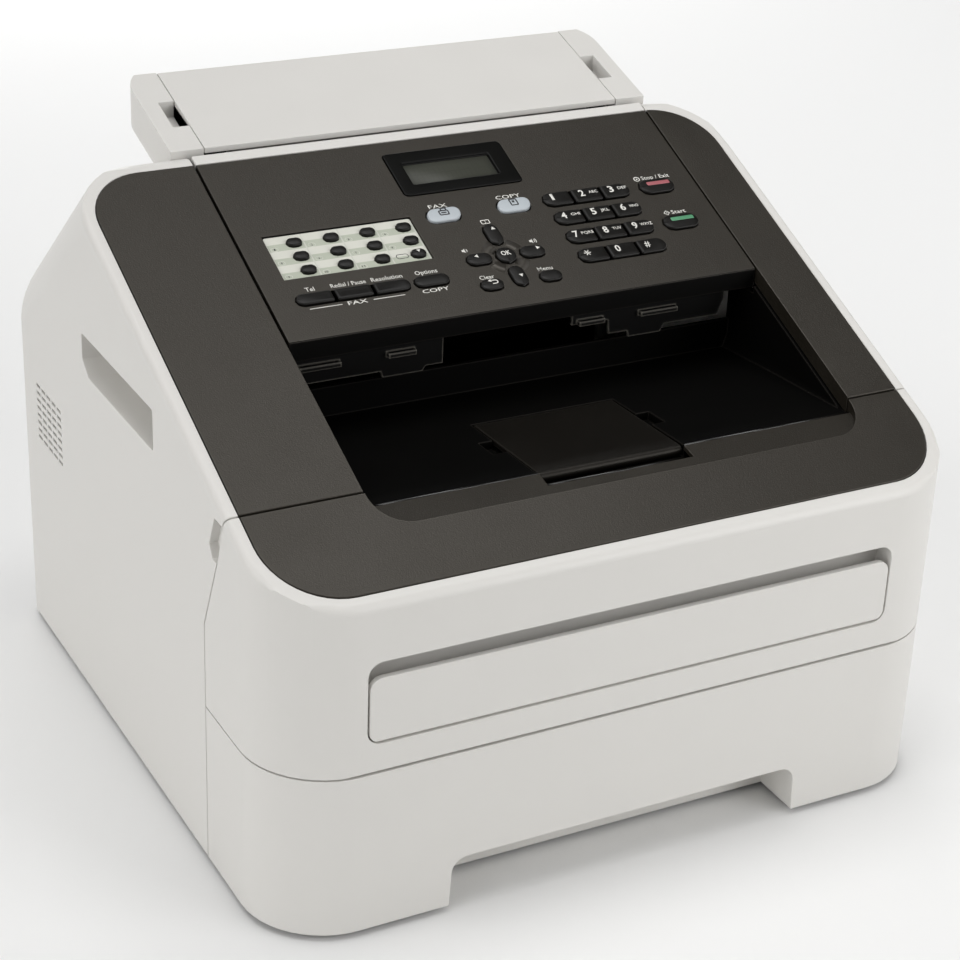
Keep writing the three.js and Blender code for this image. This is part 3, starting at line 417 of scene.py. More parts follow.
def merged_copy(node):
    """The node's triangles with shared corners, and flat areas joined to single faces, as a bmesh."""
    places, first = np.unique(np.round(corners_of(node), 6), axis=0, return_inverse=True)
    merged = bpy.data.meshes.new(node)
    merged.from_pydata(places.tolist(), [], first.ravel()[triangles_of(node)].tolist())
    solid = bmesh.new()
    solid.from_mesh(merged)
    bpy.data.meshes.remove(merged)
    bmesh.ops.dissolve_limit(
        solid, angle_limit=math.radians(0.4), verts=solid.verts[:], edges=solid.edges[:])
    return solid


def round_edges(solid, rule, radius, segments):
    """Rounds each edge for which rule(middle, normal of one side, normal of the other) is true."""
    chosen = []
    for edge in solid.edges:
        if len(edge.link_faces) != 2:
            continue
        first, second = (face.normal for face in edge.link_faces)
        middle = (edge.verts[0].co + edge.verts[1].co) / 2 / MM
        if rule(middle, first, second) or rule(middle, second, first):
            chosen.append(edge)
    bmesh.ops.bevel(
        solid, geom=chosen, offset=radius * MM, offset_type="OFFSET", segments=segments, profile=0.5,
        affect="EDGES", clamp_overlap=False)


def finish_piece(mesh, material, node, slot_node=None):
    """Makes a mesh a piece: its finish, smooth shading and the body of its node. The material slot of that
    node or of another is looked up but not given to the piece."""
    piece = bpy.data.objects.new(mesh.name, mesh)
    body, slot = BODY_OF[node], SLOT_OF[slot_node or node]
    SCENE.collection.objects.link(piece)
    piece.data.materials.append(material)
    piece.data.polygons.foreach_set("use_smooth", [True] * len(piece.data.polygons))
    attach(piece, body)
    return piece


def even_shading(piece):
    """Lets each corner's shading follow its largest faces, so flat faces stay flat."""
    even = piece.modifiers.new("even_shading", "WEIGHTED_NORMAL")
    even.weight, even.keep_sharp = 100, True


def moulding(node, material, wide=(), edge=EDGE):
    """A cover made from its CAD node. wide lists (rule, radius, segments) for its soft shoulders."""
    solid = merged_copy(node)
    for rule, radius, segments in wide:
        round_edges(solid, rule, radius, segments)
    mesh = bpy.data.meshes.new(node + "_moulding")
    solid.to_mesh(mesh)
    solid.free()
    piece = finish_piece(mesh, material, node)
    small = piece.modifiers.new("small_edges", "BEVEL")
    small.limit_method, small.angle_limit = "ANGLE", math.radians(28)
    small.width, small.segments, small.use_clamp_overlap = edge * MM, 2, False
    even_shading(piece)
    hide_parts(node)
    return piece


print("covers get edges of", EDGE, "mm, and parts with ribs get", RIB_EDGE, "mm")


# %% The covers
def second_finish(piece, material, facing):
    """Gives the faces that look along a direction another finish: those whose normal's share of it is
    over nine tenths."""
    piece.data.materials.append(material)
    normals = values_of(piece.data.polygons, "normal", 3)
    chosen = normals @ np.asarray(facing, np.float32) > 0.9
    piece.data.polygons.foreach_set("material_index", chosen.astype(np.int32))
    return int(chosen.sum())


TOP = Vector(UP)


def outer_rim(middle, face, side):
    """The outer edge of the sloping top: one face on the slope, the other upright, looking outwards. Along
    the sides that means sideways, so the end of a cover at a split isn't taken for its rim."""
    sideways = side.x * math.copysign(1, middle.x) > 0.2
    forwards = side.y < -0.2 and middle.y < -160
    return face.dot(TOP) > 0.999 and abs(side.z) < 0.2 and (sideways or forwards) and (
        abs(middle.x) > 177 or middle.y < -173.3)


def ridge(middle, face, back):
    """The line where the top slope meets the sloping back."""
    return face.dot(TOP) > 0.999 and back.y > 0.3 and middle.y > 88 and middle.z > 280


RIM = (outer_rim, 3.6, 6)
RIDGE = (ridge, 5.0, 6)
for node in ("left_side_cover", "right_side_cover"):
    moulding(node, CASING, wide=[RIM, RIDGE])
moulding("front_cover", CASING, wide=[RIM])
moulding("rear_frame_cover", CASING, wide=[RIDGE])
for finish, edge, nodes in (
        (CASING, EDGE, "paper_tray_front manual_feed_flap rear_cover panel_rear_strip"),
        (CASING, EDGE, "document_tray document_flap"),
        (COVER, EDGE, "left_top_cover right_top_cover front_top_trim control_panel"),
        (FLAP, RIB_EDGE, "output_stop_flap document_guide_left document_guide_right"),
        (GUIDE, RIB_EDGE, "document_exit_guide"),
        # painted shade: the bin and the parts inside it get the far darker black
        (INNER_BLACK_PAINTED_SHADE, EDGE, "output_bin scanner_bed paper_tray socket_panel"),
        (INNER_BLACK_PAINTED_SHADE, EDGE, "toner_cartridge drum_unit fuser_unit"),
        (ZINC, EDGE, "base_frame lift_plate"),
        (BOARD, EDGE, "main_board")):
    for node in nodes.split():
        moulding(node, finish, edge=edge)
# painted shade: the panel's front lip gets the far darker black of the bin
shaded = second_finish(bpy.data.objects["control_panel_moulding"], INNER_BLACK_PAINTED_SHADE, facing=(0, -1, 0))
print("faces of the panel's front lip:", shaded)

# %% [markdown]
# A key is a closed pill that rises from its well, turns over a small shoulder and ends in a crown that is
# almost flat. All the keys are the same surface: rings of a rounded rectangle, each ring a little
# further in and a little higher than the last. Only the outline and the corner radii differ. The display
# frame, the studs and the light bars are stacks of rings as well, so the rings come first.

# %% A surface of nested rings
def rounded_ring(x0, x1, v0, v1, radii, inset=0.0, steps=8, shear=0.0):
    """A rounded rectangle moved inwards by inset, counter-clockwise from the lower right. Each corner is an
    arc whose centre sits one radius in from the corner; moving in shrinks the arc, and past zero its
    centre follows the diagonal. shear leans the whole outline."""
    radii = np.broadcast_to(np.asarray(radii, float), 4)
    sign = np.array([(1, -1), (1, 1), (-1, 1), (-1, -1)], float)
    corner = np.array([(x1, v0), (x1, v1), (x0, v1), (x0, v0)], float)
    centre = corner - sign * np.maximum(radii, inset)[:, None]
    start = np.radians([-90, 0, 90, 180])
    angle = start[:, None] + np.linspace(0, math.pi / 2, steps + 1)
    reach = np.maximum(radii - inset, 0)[:, None]
    x = (centre[:, :1] + reach * np.cos(angle)).ravel()
    v = (centre[:, 1:] + reach * np.sin(angle)).ravel()
    return np.stack([x + shear * (v - (v0 + v1) / 2), v], -1)


def ring_faces(rows, columns, loop=False):
    """Four-sided faces between neighbouring rings. The last ring joins the first in a loop; otherwise one
    face closes each end."""
    row, column = np.arange(rows if loop else rows - 1)[:, None], np.arange(columns)[None, :]
    ahead, after = (row + 1) % rows, (column + 1) % columns
    sides = np.stack([row * columns + column, row * columns + after,
                      ahead * columns + after, ahead * columns + column], -1).reshape(-1, 4).tolist()
    if loop:
        return sides
    first = list(range(columns))[::-1]
    last = [(rows - 1) * columns + i for i in range(columns)]
    return sides + [first, last]


def stack(rings, heights):
    """Rings of (x, v) points, each at its height: one closed shape in panel terms, as points and faces."""
    rings = np.asarray(rings, float)
    heights = np.broadcast_to(np.asarray(heights, float)[:, None, None], rings.shape[:2] + (1,))
    return np.concatenate([rings, heights], -1).reshape(-1, 3), ring_faces(rings.shape[0], rings.shape[1])


def cap_profile(head, depth, shoulder, crown, half):
    """Inset and height of each ring: up from depth below, a quarter circle of the shoulder's radius, then a
    crown that rises by its own height as a parabola towards the middle."""
    turn = np.linspace(0, math.pi / 2, 6)
    inward = np.linspace(0, 1, 5)[1:] * (half * 0.9 - shoulder)
    share = inward / (half - shoulder)
    inset = np.concatenate([[0], shoulder * (1 - np.cos(turn)), shoulder + inward])
    side, top = head - shoulder * (1 - np.sin(turn)), head + crown * (1 - (1 - share) ** 2)
    return inset, np.concatenate([[-depth], side, top])


def cap(x0, x1, v0, v1, radii, profile, shear=0.0):
    """A pill or rounded block with the profile's rings on the outline."""
    inset, height = profile
    return stack([rounded_ring(x0, x1, v0, v1, radii, step, shear=shear) for step in inset], height)


print("a ring has", len(rounded_ring(0, 10, 0, 10, 2)), "points")

# %% [markdown]
# Each key takes the outline of its own node. A row of number keys is one long pill cut in three, so the
# outer keys have one round end and the middle key none. The two grey mode keys lean with the slope of
# their legends. A cap stops just below the panel's face, so it clears the well's floor when it is pressed.

# %% Keys
SHOULDER, CROWN, CAP_DEPTH = 0.8, 0.18, 0.9


def new_piece(name, points, faces, material, node, slot_node=None):
    """A piece from points in metres and lists of corners."""
    mesh = bpy.data.meshes.new(name)
    mesh.from_pydata(points.tolist(), [], faces)
    return finish_piece(mesh, material, node, slot_node)


def joined(shapes):
    """Several shapes' points in one array, and their faces counted on from one shape to the next."""
    faces, start = [], 0
    for points, own in shapes:
        faces += [[corner + start for corner in face] for face in own]
        start += len(points)
    return np.concatenate([points for points, _ in shapes]), faces


def panel_piece(name, shapes, material, node):
    """One piece of one or more shapes in panel terms, placed on the panel's slope."""
    points, faces = joined(shapes)
    return new_piece(name, on_panel(*points.T), faces, material, node)


def key_cap(node, material=None, round_ends="both", shear=0.0, corner=None):
    """The cap that stands for a key's node, on the outline of the node's own box. A leaning key is wider
    than its upright outline by what the lean adds at its round corners."""
    low, high = panel_box(node)
    half = min(high[0] - low[0], high[1] - low[1]) / 2
    rounding = corner or half
    lean = shear * (half - rounding) + rounding * (math.hypot(1, shear) - 1)
    ends = {"both": (1, 1), "left": (0, 1), "right": (1, 0), "none": (0, 0)}[round_ends]
    right, left = (rounding if end else 1.0 for end in ends)
    profile = cap_profile(head=high[2], depth=CAP_DEPTH, shoulder=SHOULDER, crown=CROWN, half=half)
    shape = cap(low[0] + lean, high[0] - lean, low[1], high[1], (right, right, left, left), profile, shear)
    piece = panel_piece(node + "_cap", [shape], material or KEYCAP, node)
    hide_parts(node)


ROWS = [("1", "2", "3"), ("4", "5", "6"), ("7", "8", "9"), ("star", "0", "hash"),
        ("tel", "redial", "resolution")]
for row in ROWS:
    for label, ends in zip(row, ("left", "none", "right")):
        key_cap("key_" + label, round_ends=ends)
for label in ("options", "up", "down", "left", "right", "ok", "clear", "menu", "stop", "start"):
    key_cap("key_" + label)
for label in ("fax", "copy"):
    key_cap("key_" + label, MODE_KEY, shear=0.2, corner=4.2)

# %% [markdown]
# The twelve one-touch keys are studs of a single rubber mat, which lies under a plastic plate. A printed
# card shows through the plate: each row has a pale field for a name and a green-grey band for a number.
# The bands belong to the card, so they are worked out in its finish from a map of the card, and the
# thin outlines on it are real, very flat shapes.

# %% Studs of the one-touch keypad
STUD_PITCH, STUD_DROP = 19.83, 9.8


def stud_centres():
    """Middles of the studs, from the top left: the mat's highest points give the first and last."""
    local = panel_terms(corners_of("one_touch_keypad"))
    tops = local[local[:, 2] > local[:, 2].max() - 0.1]
    low, high = tops.min(0), tops.max(0)
    size = np.array([high[0] - low[0] - 3 * STUD_PITCH, high[1] - low[1] - 2 * STUD_DROP])
    first = np.array([low[0] + size[0] / 2, high[1] - size[1] / 2])
    column, row = np.meshgrid(np.arange(4), np.arange(3))
    return first + np.stack([column * STUD_PITCH, -row * STUD_DROP], -1).reshape(-1, 2), size, high[2]


STUDS, STUD_SIZE, STUD_TOP = stud_centres()
stud_profile = cap_profile(head=STUD_TOP, depth=4.0, shoulder=0.7, crown=0.25, half=STUD_SIZE[1] / 2)
wide, tall = STUD_SIZE / 2
stud_shapes = [cap(x - wide, x + wide, v - tall, v + tall, tall, stud_profile) for x, v in STUDS]
mat_low, mat_high = panel_box("one_touch_keypad")
mat_profile = ([0.0, 0.0, 0.3], [mat_low[2], -3.7, -3.4])
mat = cap(mat_low[0], mat_high[0], mat_low[1], mat_high[1], 2.0, mat_profile)
piece = panel_piece("one_touch_studs", stud_shapes + [mat], KEYCAP, "one_touch_keypad")
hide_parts("one_touch_keypad")
print("studs:", len(STUDS), "of", np.round(STUD_SIZE, 2), "mm")


# %% The card and its bands
def grid_place(tree, axis, start, pitch):
    """Where a spot is on a grid of cells along one axis of a piece's map: first counted in cells from the
    start, then as the fraction of its own cell."""
    spot = tree.nodes.new("ShaderNodeSeparateXYZ")
    tree.links.new(tree.nodes.new("ShaderNodeUVMap").outputs[0], spot.inputs[0])
    from_start = calc(tree, "SUBTRACT", spot.outputs[axis], start)
    place = calc(tree, "DIVIDE", from_start, pitch)
    return place, calc(tree, "FRACT", place)


def near(tree, value, middle, reach):
    """One where a value is less than the reach from the middle, and zero elsewhere."""
    away = calc(tree, "ABSOLUTE", calc(tree, "SUBTRACT", value, middle))
    return calc(tree, "LESS_THAN", away, reach)


def card_finish(low, high, rows):
    """Pale fields over green-grey bands. The card's map gives millimetres on the panel; the height within a
    row is the fraction of (v - bottom) / pitch, and a narrow ramp softens the print's edge."""
    material, tree, shader = surface_material("label_card")
    _, across = grid_place(tree, 0, low[0], STUD_PITCH)
    _, up_row = grid_place(tree, 1, low[1], (high[1] - low[1]) / rows)
    ramp = calc(tree, "MULTIPLY", calc(tree, "SUBTRACT", up_row, 0.47), 40.0)
    field = calc(tree, "MINIMUM", calc(tree, "MAXIMUM", ramp, 0.0), 1.0)
    tone = mix_colour(tree, field, (0.47, 0.50, 0.41), (0.67, 0.67, 0.60))
    tone = mix_colour(tree, near(tree, across, 0.5, 0.482), (0.60, 0.61, 0.54), tone)
    rough = wandering(tree, grain_node(tree), 0.395, span=0.15)
    paint(tree, shader, Base_Color=tone, Roughness=rough)
    return material


def map_on_panel(piece):
    """Gives a piece a map whose two values are its x and v on the panel, in millimetres."""
    mesh = piece.data
    local = panel_terms(points_of(mesh))[:, :2].astype(np.float32)
    corners = values_of(mesh.loops, "vertex_index", 1, np.int32).ravel()
    mesh.uv_layers.new(name="panel_map").data.foreach_set("uv", local[corners].ravel())


card_low, card_high = panel_box("one_touch_plate")
card = moulding("one_touch_plate", card_finish(card_low, card_high, rows=3), edge=0.15)
map_on_panel(card)
print("card:", np.round(card_high - card_low, 1)[:2], "mm")

# %% [markdown]
# The display is a black glossy frame round a sunk window. The frame is one skin: it comes up the outside,
# turns over the top, slopes down into the window and closes behind the glass. The glass is a pale
# grey-green panel with a faint grid of dots, which is what an idle character display looks like.

# %% Display frame
frame_low, frame_high = panel_box("screen_window")
frame_corners = panel_terms(corners_of("screen_window"))
sunk = frame_corners[(frame_corners[:, 2] > -3) & (frame_corners[:, 2] < 0)]
SCREEN_LOW, SCREEN_HIGH = sunk.min(0), sunk.max(0)


def frame_rings(levels):
    """Rings for the display frame. Each level is (outline, inset, corner radius, height); insets count from
    the frame's own outline, or outwards from the window when they are negative."""
    rings, heights = [], []
    for outline, inset, radius, height in levels:
        low, high = (frame_low, frame_high) if outline == "frame" else (SCREEN_LOW, SCREEN_HIGH)
        rings.append(rounded_ring(low[0] + inset, high[0] - inset, low[1] + inset, high[1] - inset, radius))
        heights.append(height)
    return stack(rings, heights)


top = frame_high[2]
bezel = frame_rings([
    ("frame", 0.0, 2.6, frame_low[2]), ("frame", 0.0, 2.6, top - 0.6), ("frame", 0.18, 2.4, top - 0.18),
    ("frame", 0.6, 2.0, top), ("window", -0.9, 1.5, top), ("window", -0.35, 1.0, top - 0.15),
    ("window", -0.05, 0.8, top - 0.6), ("window", 0.0, 0.7, SCREEN_LOW[2] - 0.4)])
piece = panel_piece("display_frame", [bezel], BEZEL, "screen_window")
even_shading(piece)
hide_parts("screen_window")
print("window:", np.round(SCREEN_HIGH - SCREEN_LOW, 1)[:2], "mm")


# %% Display glass
GLASS_MARGIN = 2.6


def glass_finish(low, high):
    """Grey-green glass with two rows of sixteen faint cells of five by eight dots: a dot shows where both
    fractions of the dot grid are inside the middle of a dot and the cell grid is inside a cell."""
    material, tree, shader = surface_material("display_glass")
    cells = 1.0
    for axis, count, dots in ((0, 16, 6), (1, 2, 9)):
        pitch = (high[axis] - low[axis] - 2 * GLASS_MARGIN) / count
        place, share = grid_place(tree, axis, low[axis] + GLASS_MARGIN, pitch)
        dot = calc(tree, "FRACT", calc(tree, "MULTIPLY", share, dots))
        for mask in (near(tree, place, count / 2, count / 2),
                     calc(tree, "LESS_THAN", share, (dots - 1) / dots),
                     calc(tree, "LESS_THAN", dot, 0.84)):
            cells = calc(tree, "MULTIPLY", cells, mask)
    tone = mix_colour(tree, cells, (0.050, 0.052, 0.042), (0.058, 0.060, 0.049))
    rough = wandering(tree, grain_node(tree), 0.305, span=0.05)
    paint(tree, shader, Base_Color=tone, Roughness=rough, Specular_IOR_Level=0.15)
    return material


glass = cap(SCREEN_LOW[0] + 0.1, SCREEN_HIGH[0] - 0.1, SCREEN_LOW[1] + 0.1, SCREEN_HIGH[1] - 0.1, 0.6,
            ([0.0, 0.0, 0.15], SCREEN_LOW[2] + np.array([-0.3, 0.1, 0.25])))
piece = panel_piece("display_glass", [glass], glass_finish(SCREEN_LOW, SCREEN_HIGH), "screen_window")
map_on_panel(piece)
print("glass:", len(piece.data.polygons), "faces")

# %% [markdown]
# Legends are pad-printed: a silicone pad stamps a film of ink about a twentieth of a millimetre thick.
# Here each legend is a shape of that kind, a solid that starts just under the surface and ends just above
# it. There are three makers: a line of ink along a path, a filled outline, and words in a plain face.
# The panel's own printing rides on the panel; what is printed on a key rides on that key.

# %% Makers of printed shapes
def stroke(path, width, closed=False):
    """A line of ink: a rectangle, width across and 1 high, carried along the path and kept square to the
    direction in which the path runs."""
    path = np.asarray(path, float)
    along = np.roll(path, -1, 0) - np.roll(path, 1, 0) if closed else np.gradient(path, axis=0)
    along /= np.linalg.norm(along, axis=1, keepdims=True)
    aside = np.stack([-along[:, 1], along[:, 0]], -1) * width / 2
    section = np.stack([path + aside, path + aside, path - aside, path - aside], 1)
    height = np.broadcast_to(np.array([0.0, 1.0, 1.0, 0.0])[None, :, None], section.shape[:2] + (1,))
    return np.concatenate([section, height], -1).reshape(-1, 3), ring_faces(len(path), 4, closed)


def filled(outline):
    """A filled outline, given counter-clockwise."""
    return stack([outline, outline], [0.0, 1.0])


def arc(x, v, radius, start, end, steps=16):
    """Points of an arc between two angles in degrees."""
    angle = np.radians(np.linspace(start, end, steps))
    return np.stack([x + radius * np.cos(angle), v + radius * np.sin(angle)], -1)


def disc(x, v, radius):
    """A filled round spot."""
    return filled(arc(x, v, radius, 0, 345, 24))


def pointer(x, v, size, toward):
    """A filled triangle that points toward an angle in degrees."""
    return filled(arc(x, v, size, toward, toward + 240, 3))


def loop(x0, x1, v0, v1, radius, width):
    """A rounded rectangle drawn as a line."""
    ring = rounded_ring(x0, x1, v0, v1, radius, steps=4)
    return stroke(ring, width, closed=True)


print("a disc has", len(disc(0, 0, 1)[0]), "corners")


# %% Words and films of ink
def word_outline(words, weight):
    """Words as a solid one unit thick, in the built-in plain face, as points and faces."""
    curve = bpy.data.curves.new("words", "FONT")
    curve.body, curve.extrude, curve.resolution_u, curve.offset = words, 0.5, 2, weight
    holder = bpy.data.objects.new("words", curve)
    SCENE.collection.objects.link(holder)
    mesh = bpy.data.meshes.new_from_object(holder.evaluated_get(bpy.context.evaluated_depsgraph_get()))
    solid = bmesh.new()
    solid.from_mesh(mesh)
    bmesh.ops.remove_doubles(solid, verts=solid.verts[:], dist=1e-5)
    bmesh.ops.recalc_face_normals(solid, faces=solid.faces[:])
    solid.to_mesh(mesh)
    solid.free()
    points, faces = points_of(mesh), [list(polygon.vertices) for polygon in mesh.polygons]
    bpy.data.objects.remove(holder)
    bpy.data.curves.remove(curve)
    bpy.data.meshes.remove(mesh)
    return points, faces


CAPITAL = np.ptp(word_outline("H", 0.0)[0][:, 1])


def lettering(words, x0, x1, v, height, weight=0.006):
    """Words stretched to run from x0 to x1 on the line v, with capitals of the given height."""
    points, faces = word_outline(words, weight)
    left, width = points[:, 0].min(), np.ptp(points[:, 0])
    x = x0 + (points[:, 0] - left) * (x1 - x0) / width
    return np.stack([x, v + points[:, 1] * height / CAPITAL, points[:, 2] + 0.5], -1), faces


def printed(name, shapes, material, node, level=None, film=0.05):
    """A printed piece on a node: its shapes get the height of the node's top, or of the level given, and
    reach as far under it as above it. On a key the film follows from just under the crown."""
    level = panel_box(node)[1][2] if level is None else level
    points, faces = joined(shapes)
    points[:, 2] = level + film * (2 * points[:, 2] - 1)
    new_piece(name, on_panel(*points.T), faces, material, node, "one_touch_plate")


print("capitals are", round(float(CAPITAL), 2), "of the type size")


# %% Legends of the number keys
def on_key(name, shapes, material=None):
    """Printing on a key's crown."""
    film = CROWN / 2 + 0.015
    top = panel_box(name)[1][2] + film - 0.03
    printed(name + "_print", shapes, material or INK, name, level=top, film=film)


LETTERS = {"2": "ABC", "3": "DEF", "4": "GHI", "5": "JKL", "6": "MNO", "7": "PQRS", "8": "TUV", "9": "WXYZ"}
for label in "1234567890":
    low, high = panel_box("key_" + label)
    x, v = low[0] + 5.4, (low[1] + high[1]) / 2 + 1.0
    wide = 0.75 if label == "1" else 1.5
    shapes = [lettering(label, x - wide, x + wide, v - 2.2, 4.4, weight=0.02)]
    if label in LETTERS:
        reach = 0.88 * len(LETTERS[label])
        shapes.append(lettering(LETTERS[label], x + 6.8 - reach, x + 6.8 + reach, v - 0.9, 1.9))
    on_key("key_" + label, shapes)
low, high = panel_box("key_star")
x, v = low[0] + 5.2, (low[1] + high[1]) / 2 + 1.0
on_key("key_star", [stroke(arc(x, v, 2.0, turn, turn + 180, 2), 0.55) for turn in (0, 60, 120)])
low, high = panel_box("key_hash")
on_key("key_hash", [lettering("#", low[0] + 3.7, low[0] + 6.9, (low[1] + high[1]) / 2 - 1.1, 4.2)])
print("number keys printed")

# %% Legends of the other keys
middle, level = middle_of("key_ok")
on_key("key_ok", [lettering("OK", middle - 2.7, middle + 2.7, level - 0.6, 2.9, weight=0.02)])
on_key("key_up", [pointer(middle + 1.1, level + 19.0, 1.4, 90)])
on_key("key_down", [pointer(middle + 1.1, level - 15.6, 1.4, 270)])
on_key("key_left", [pointer(middle - 16.2, level + 1.5, 1.4, 180)])
on_key("key_right", [pointer(middle + 18.4, level + 1.3, 1.4, 0)])
x, v = middle_of("key_clear") + (1.1, 0.9)
hook = np.concatenate([[(x - 1.2, v - 1.15), (x + 0.8, v - 1.15)], arc(x + 0.9, v, 1.15, -80, 80, 9),
                       [(x - 1.4, v + 1.15)]])
on_key("key_clear", [stroke(hook, 0.55), pointer(x - 1.8, v + 1.15, 1.2, 180)])
for name, ink in (("key_stop", RED), ("key_start", GREEN)):
    low, high = panel_box(name)
    bar = cap(low[0] + 4.7, low[0] + 18.4, high[1] - 5.0, high[1] - 2.4, 0.7,
              ([0.0, 0.0, 0.12, 0.4], high[2] + np.array([-0.4, CROWN + 0.05, CROWN + 0.17, CROWN + 0.22])))
    panel_piece(name + "_bar", [bar], ink, name)
for name in ("key_fax", "key_copy"):
    x, v = middle_of(name) + (0.2, 1.4)
    page = [loop(x - 1.9, x + 1.9, v - 2.2, v + 2.2, 0.4, 0.8),
            filled(rounded_ring(x - 0.8, x + 0.6, v - 0.4, v + 1.2, 0.2, steps=2))]
    if name == "key_fax":
        page = [loop(x - 2.6, x + 2.4, v - 2.2, v + 0.8, 0.5, 0.8),
                loop(x - 1.0, x + 1.8, v + 0.8, v + 2.6, 0.3, 0.7),
                filled(rounded_ring(x - 1.6, x + 1.4, v - 1.2, v - 0.2, 0.2, steps=2))]
    on_key(name, page, DARK_INK)
print("function keys printed")

# %% Legends of the panel
LEGENDS = [  # words, left and right end, line and height of capitals, in panel terms
    ("Tel", -94.4, -89.6, -7.0, 2.7), ("Redial / Pause", -81.0, -62.4, -7.0, 2.6),
    ("Resolution", -59.4, -42.7, -7.0, 2.7), ("Options", -35.6, -23.4, -7.0, 2.7),
    ("FAX", -77.0, -66.6, -19.8, 2.4), ("COPY", -37.0, -22.4, -19.8, 2.4),
    ("FAX", -8.6, 1.8, 37.2, 2.6), ("COPY", 30.0, 44.3, 37.2, 2.6),
    ("Clear", -4.1, 4.0, -16.7, 2.6), ("Menu", 28.7, 37.1, -16.7, 2.6),
    ("Stop / Exit", 117.4, 134.4, 36.9, 2.7), ("Start", 121.4, 130.0, 9.2, 2.7),
]
panel_print = [lettering(*legend) for legend in LEGENDS]
panel_print += [stroke([(x, -18.6), (x + 17.0, -18.6)], 0.45) for x in (-97.0, -63.4)]
panel_print += [loop(x, x + 2.3, 21.4, 24.0, 0.5, 0.5) for x in (14.4, 16.7)]
panel_print += [stroke(arc(114.6, 38.1, 1.55, 0, 345, 24), 0.55, closed=True), disc(114.6, 38.1, 0.55)]
panel_print += [stroke(arc(118.7, 10.5, 1.6, 0, 270, 4), 0.55, closed=True), disc(118.7, 10.5, 0.35)]
for x, waves in ((-3.6, 1), (35.0, 2)):
    cone = [(x - 1.3, 3.9), (x - 0.6, 3.9), (x + 0.5, 3.1), (x + 0.5, 6.1), (x - 0.6, 5.3), (x - 1.3, 5.3)]
    panel_print.append(filled(cone))
    panel_print += [stroke(arc(x + 0.4, 4.6, 1.2 + 0.9 * wave, -45, 45, 8), 0.4) for wave in range(waves)]
printed("panel_legends", panel_print, INK, "control_panel", level=0.0)
hub = middle_of("key_ok")
lobes = [stroke(arc(*hub, 9.25, turn - 21, turn + 21, 12), 6.6) for turn in (45, 135, 225, 315)]
printed("arrow_pad_lobes", lobes, HAZE, "control_panel", level=0.0, film=0.03)
print("panel legends:", len(panel_print), "shapes")

# %% Printing on the card
card_print, numbers = [], []
for index, (x, v) in enumerate(STUDS[:-1]):
    card_print.append(loop(x - 13.1, x - 9.5, v - 3.9, v - 1.5, 1.1, 0.3))
    digits, middle = str(index + 1), x - 11.3
    reach = 0.4 * len(digits)
    numbers.append(lettering(digits, middle - reach, middle + reach, v - 3.3, 1.2))
x, v = STUDS[-1]
numbers.append(loop(x - 12.0, x - 5.6, v - 1.3, v + 1.5, 1.3, 0.35))
printed("card_ovals", card_print, PALE_INK, "one_touch_plate")
printed("card_numbers", numbers, DARK_INK, "one_touch_plate")
printed("stud_mark", [pointer(x, v + 0.9, 1.2, 270)], INK, "one_touch_keypad", level=STUD_TOP + 0.2,
        film=0.1)
print("card printed:", len(card_print) + len(numbers), "shapes")

# %% [markdown]
# Rollers, feet and screws are all turned shapes: a profile of radius and height spun round an axis. A
# relief can be added to the height, as a function of radius and angle, which is how the cross is pressed
# into a screw head, and a ripple to the radius, which gives a paper roller its fine ribs.

# %% Turned shapes
def turned(profile, centre, axis, around=48, ripple=0.0, ribs=0, relief=None):
    """A profile of (radius, height, share of ripple) rows spun round an axis through the centre. The radius
    is less by ripple * share * (1 - cos(ribs * angle)) / 2, and relief(radius, angle) is added to the
    height. Millimetres in, metres out."""
    profile = np.asarray(profile, float)
    angle = np.linspace(0, 2 * math.pi, around, endpoint=False)
    radius = profile[:, :1] - ripple * profile[:, 2:] * (1 - np.cos(ribs * angle)) / 2
    height = np.broadcast_to(profile[:, 1:2], radius.shape)
    if relief is not None:
        height = height + relief(radius, angle)
    axis = np.asarray(axis, float)
    side = np.roll(axis, 1)
    other = np.cross(axis, side)
    outwards = np.cos(angle)[:, None] * side + np.sin(angle)[:, None] * other
    points = np.asarray(centre, float) + radius[..., None] * outwards + height[..., None] * axis
    return MM * points.reshape(-1, 3), ring_faces(len(profile), around)


# %% Paper rollers
def roller(node, ribs):
    """A ribbed rubber tyre on its shaft, on the node's own radii and lengths."""
    corners = corners_of(node) / MM
    low, high = corners.min(0), corners.max(0)
    centre = (low + high) / 2
    reach = np.abs(corners[:, 0] - centre[0])
    radius = np.hypot(corners[:, 1] - centre[1], corners[:, 2] - centre[2])
    tyre, thick = reach[radius > radius.max() - 0.3].max(), radius.max()
    end, shaft = reach.max(), radius[reach > reach.max() - 0.1].max()
    half = [(shaft - 0.4, end, 0), (shaft, end - 0.4, 0), (shaft, tyre, 0), (thick - 0.6, tyre, 0.3),
            (thick, tyre - 0.6, 1)]
    profile = [(r, -h, share) for r, h, share in half] + [(thick, 0, 1)] + half[::-1]
    points, faces = turned(profile, centre, (1, 0, 0), around=ribs * 4, ripple=0.5, ribs=ribs)
    piece = new_piece(node + "_tyre", points, faces, RUBBER, node)
    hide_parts(node)
    return thick, tyre


for node in ("pickup_roller", "document_feed_roller"):
    print(node, "radius and half length", np.round(roller(node, ribs=36), 1), "mm")

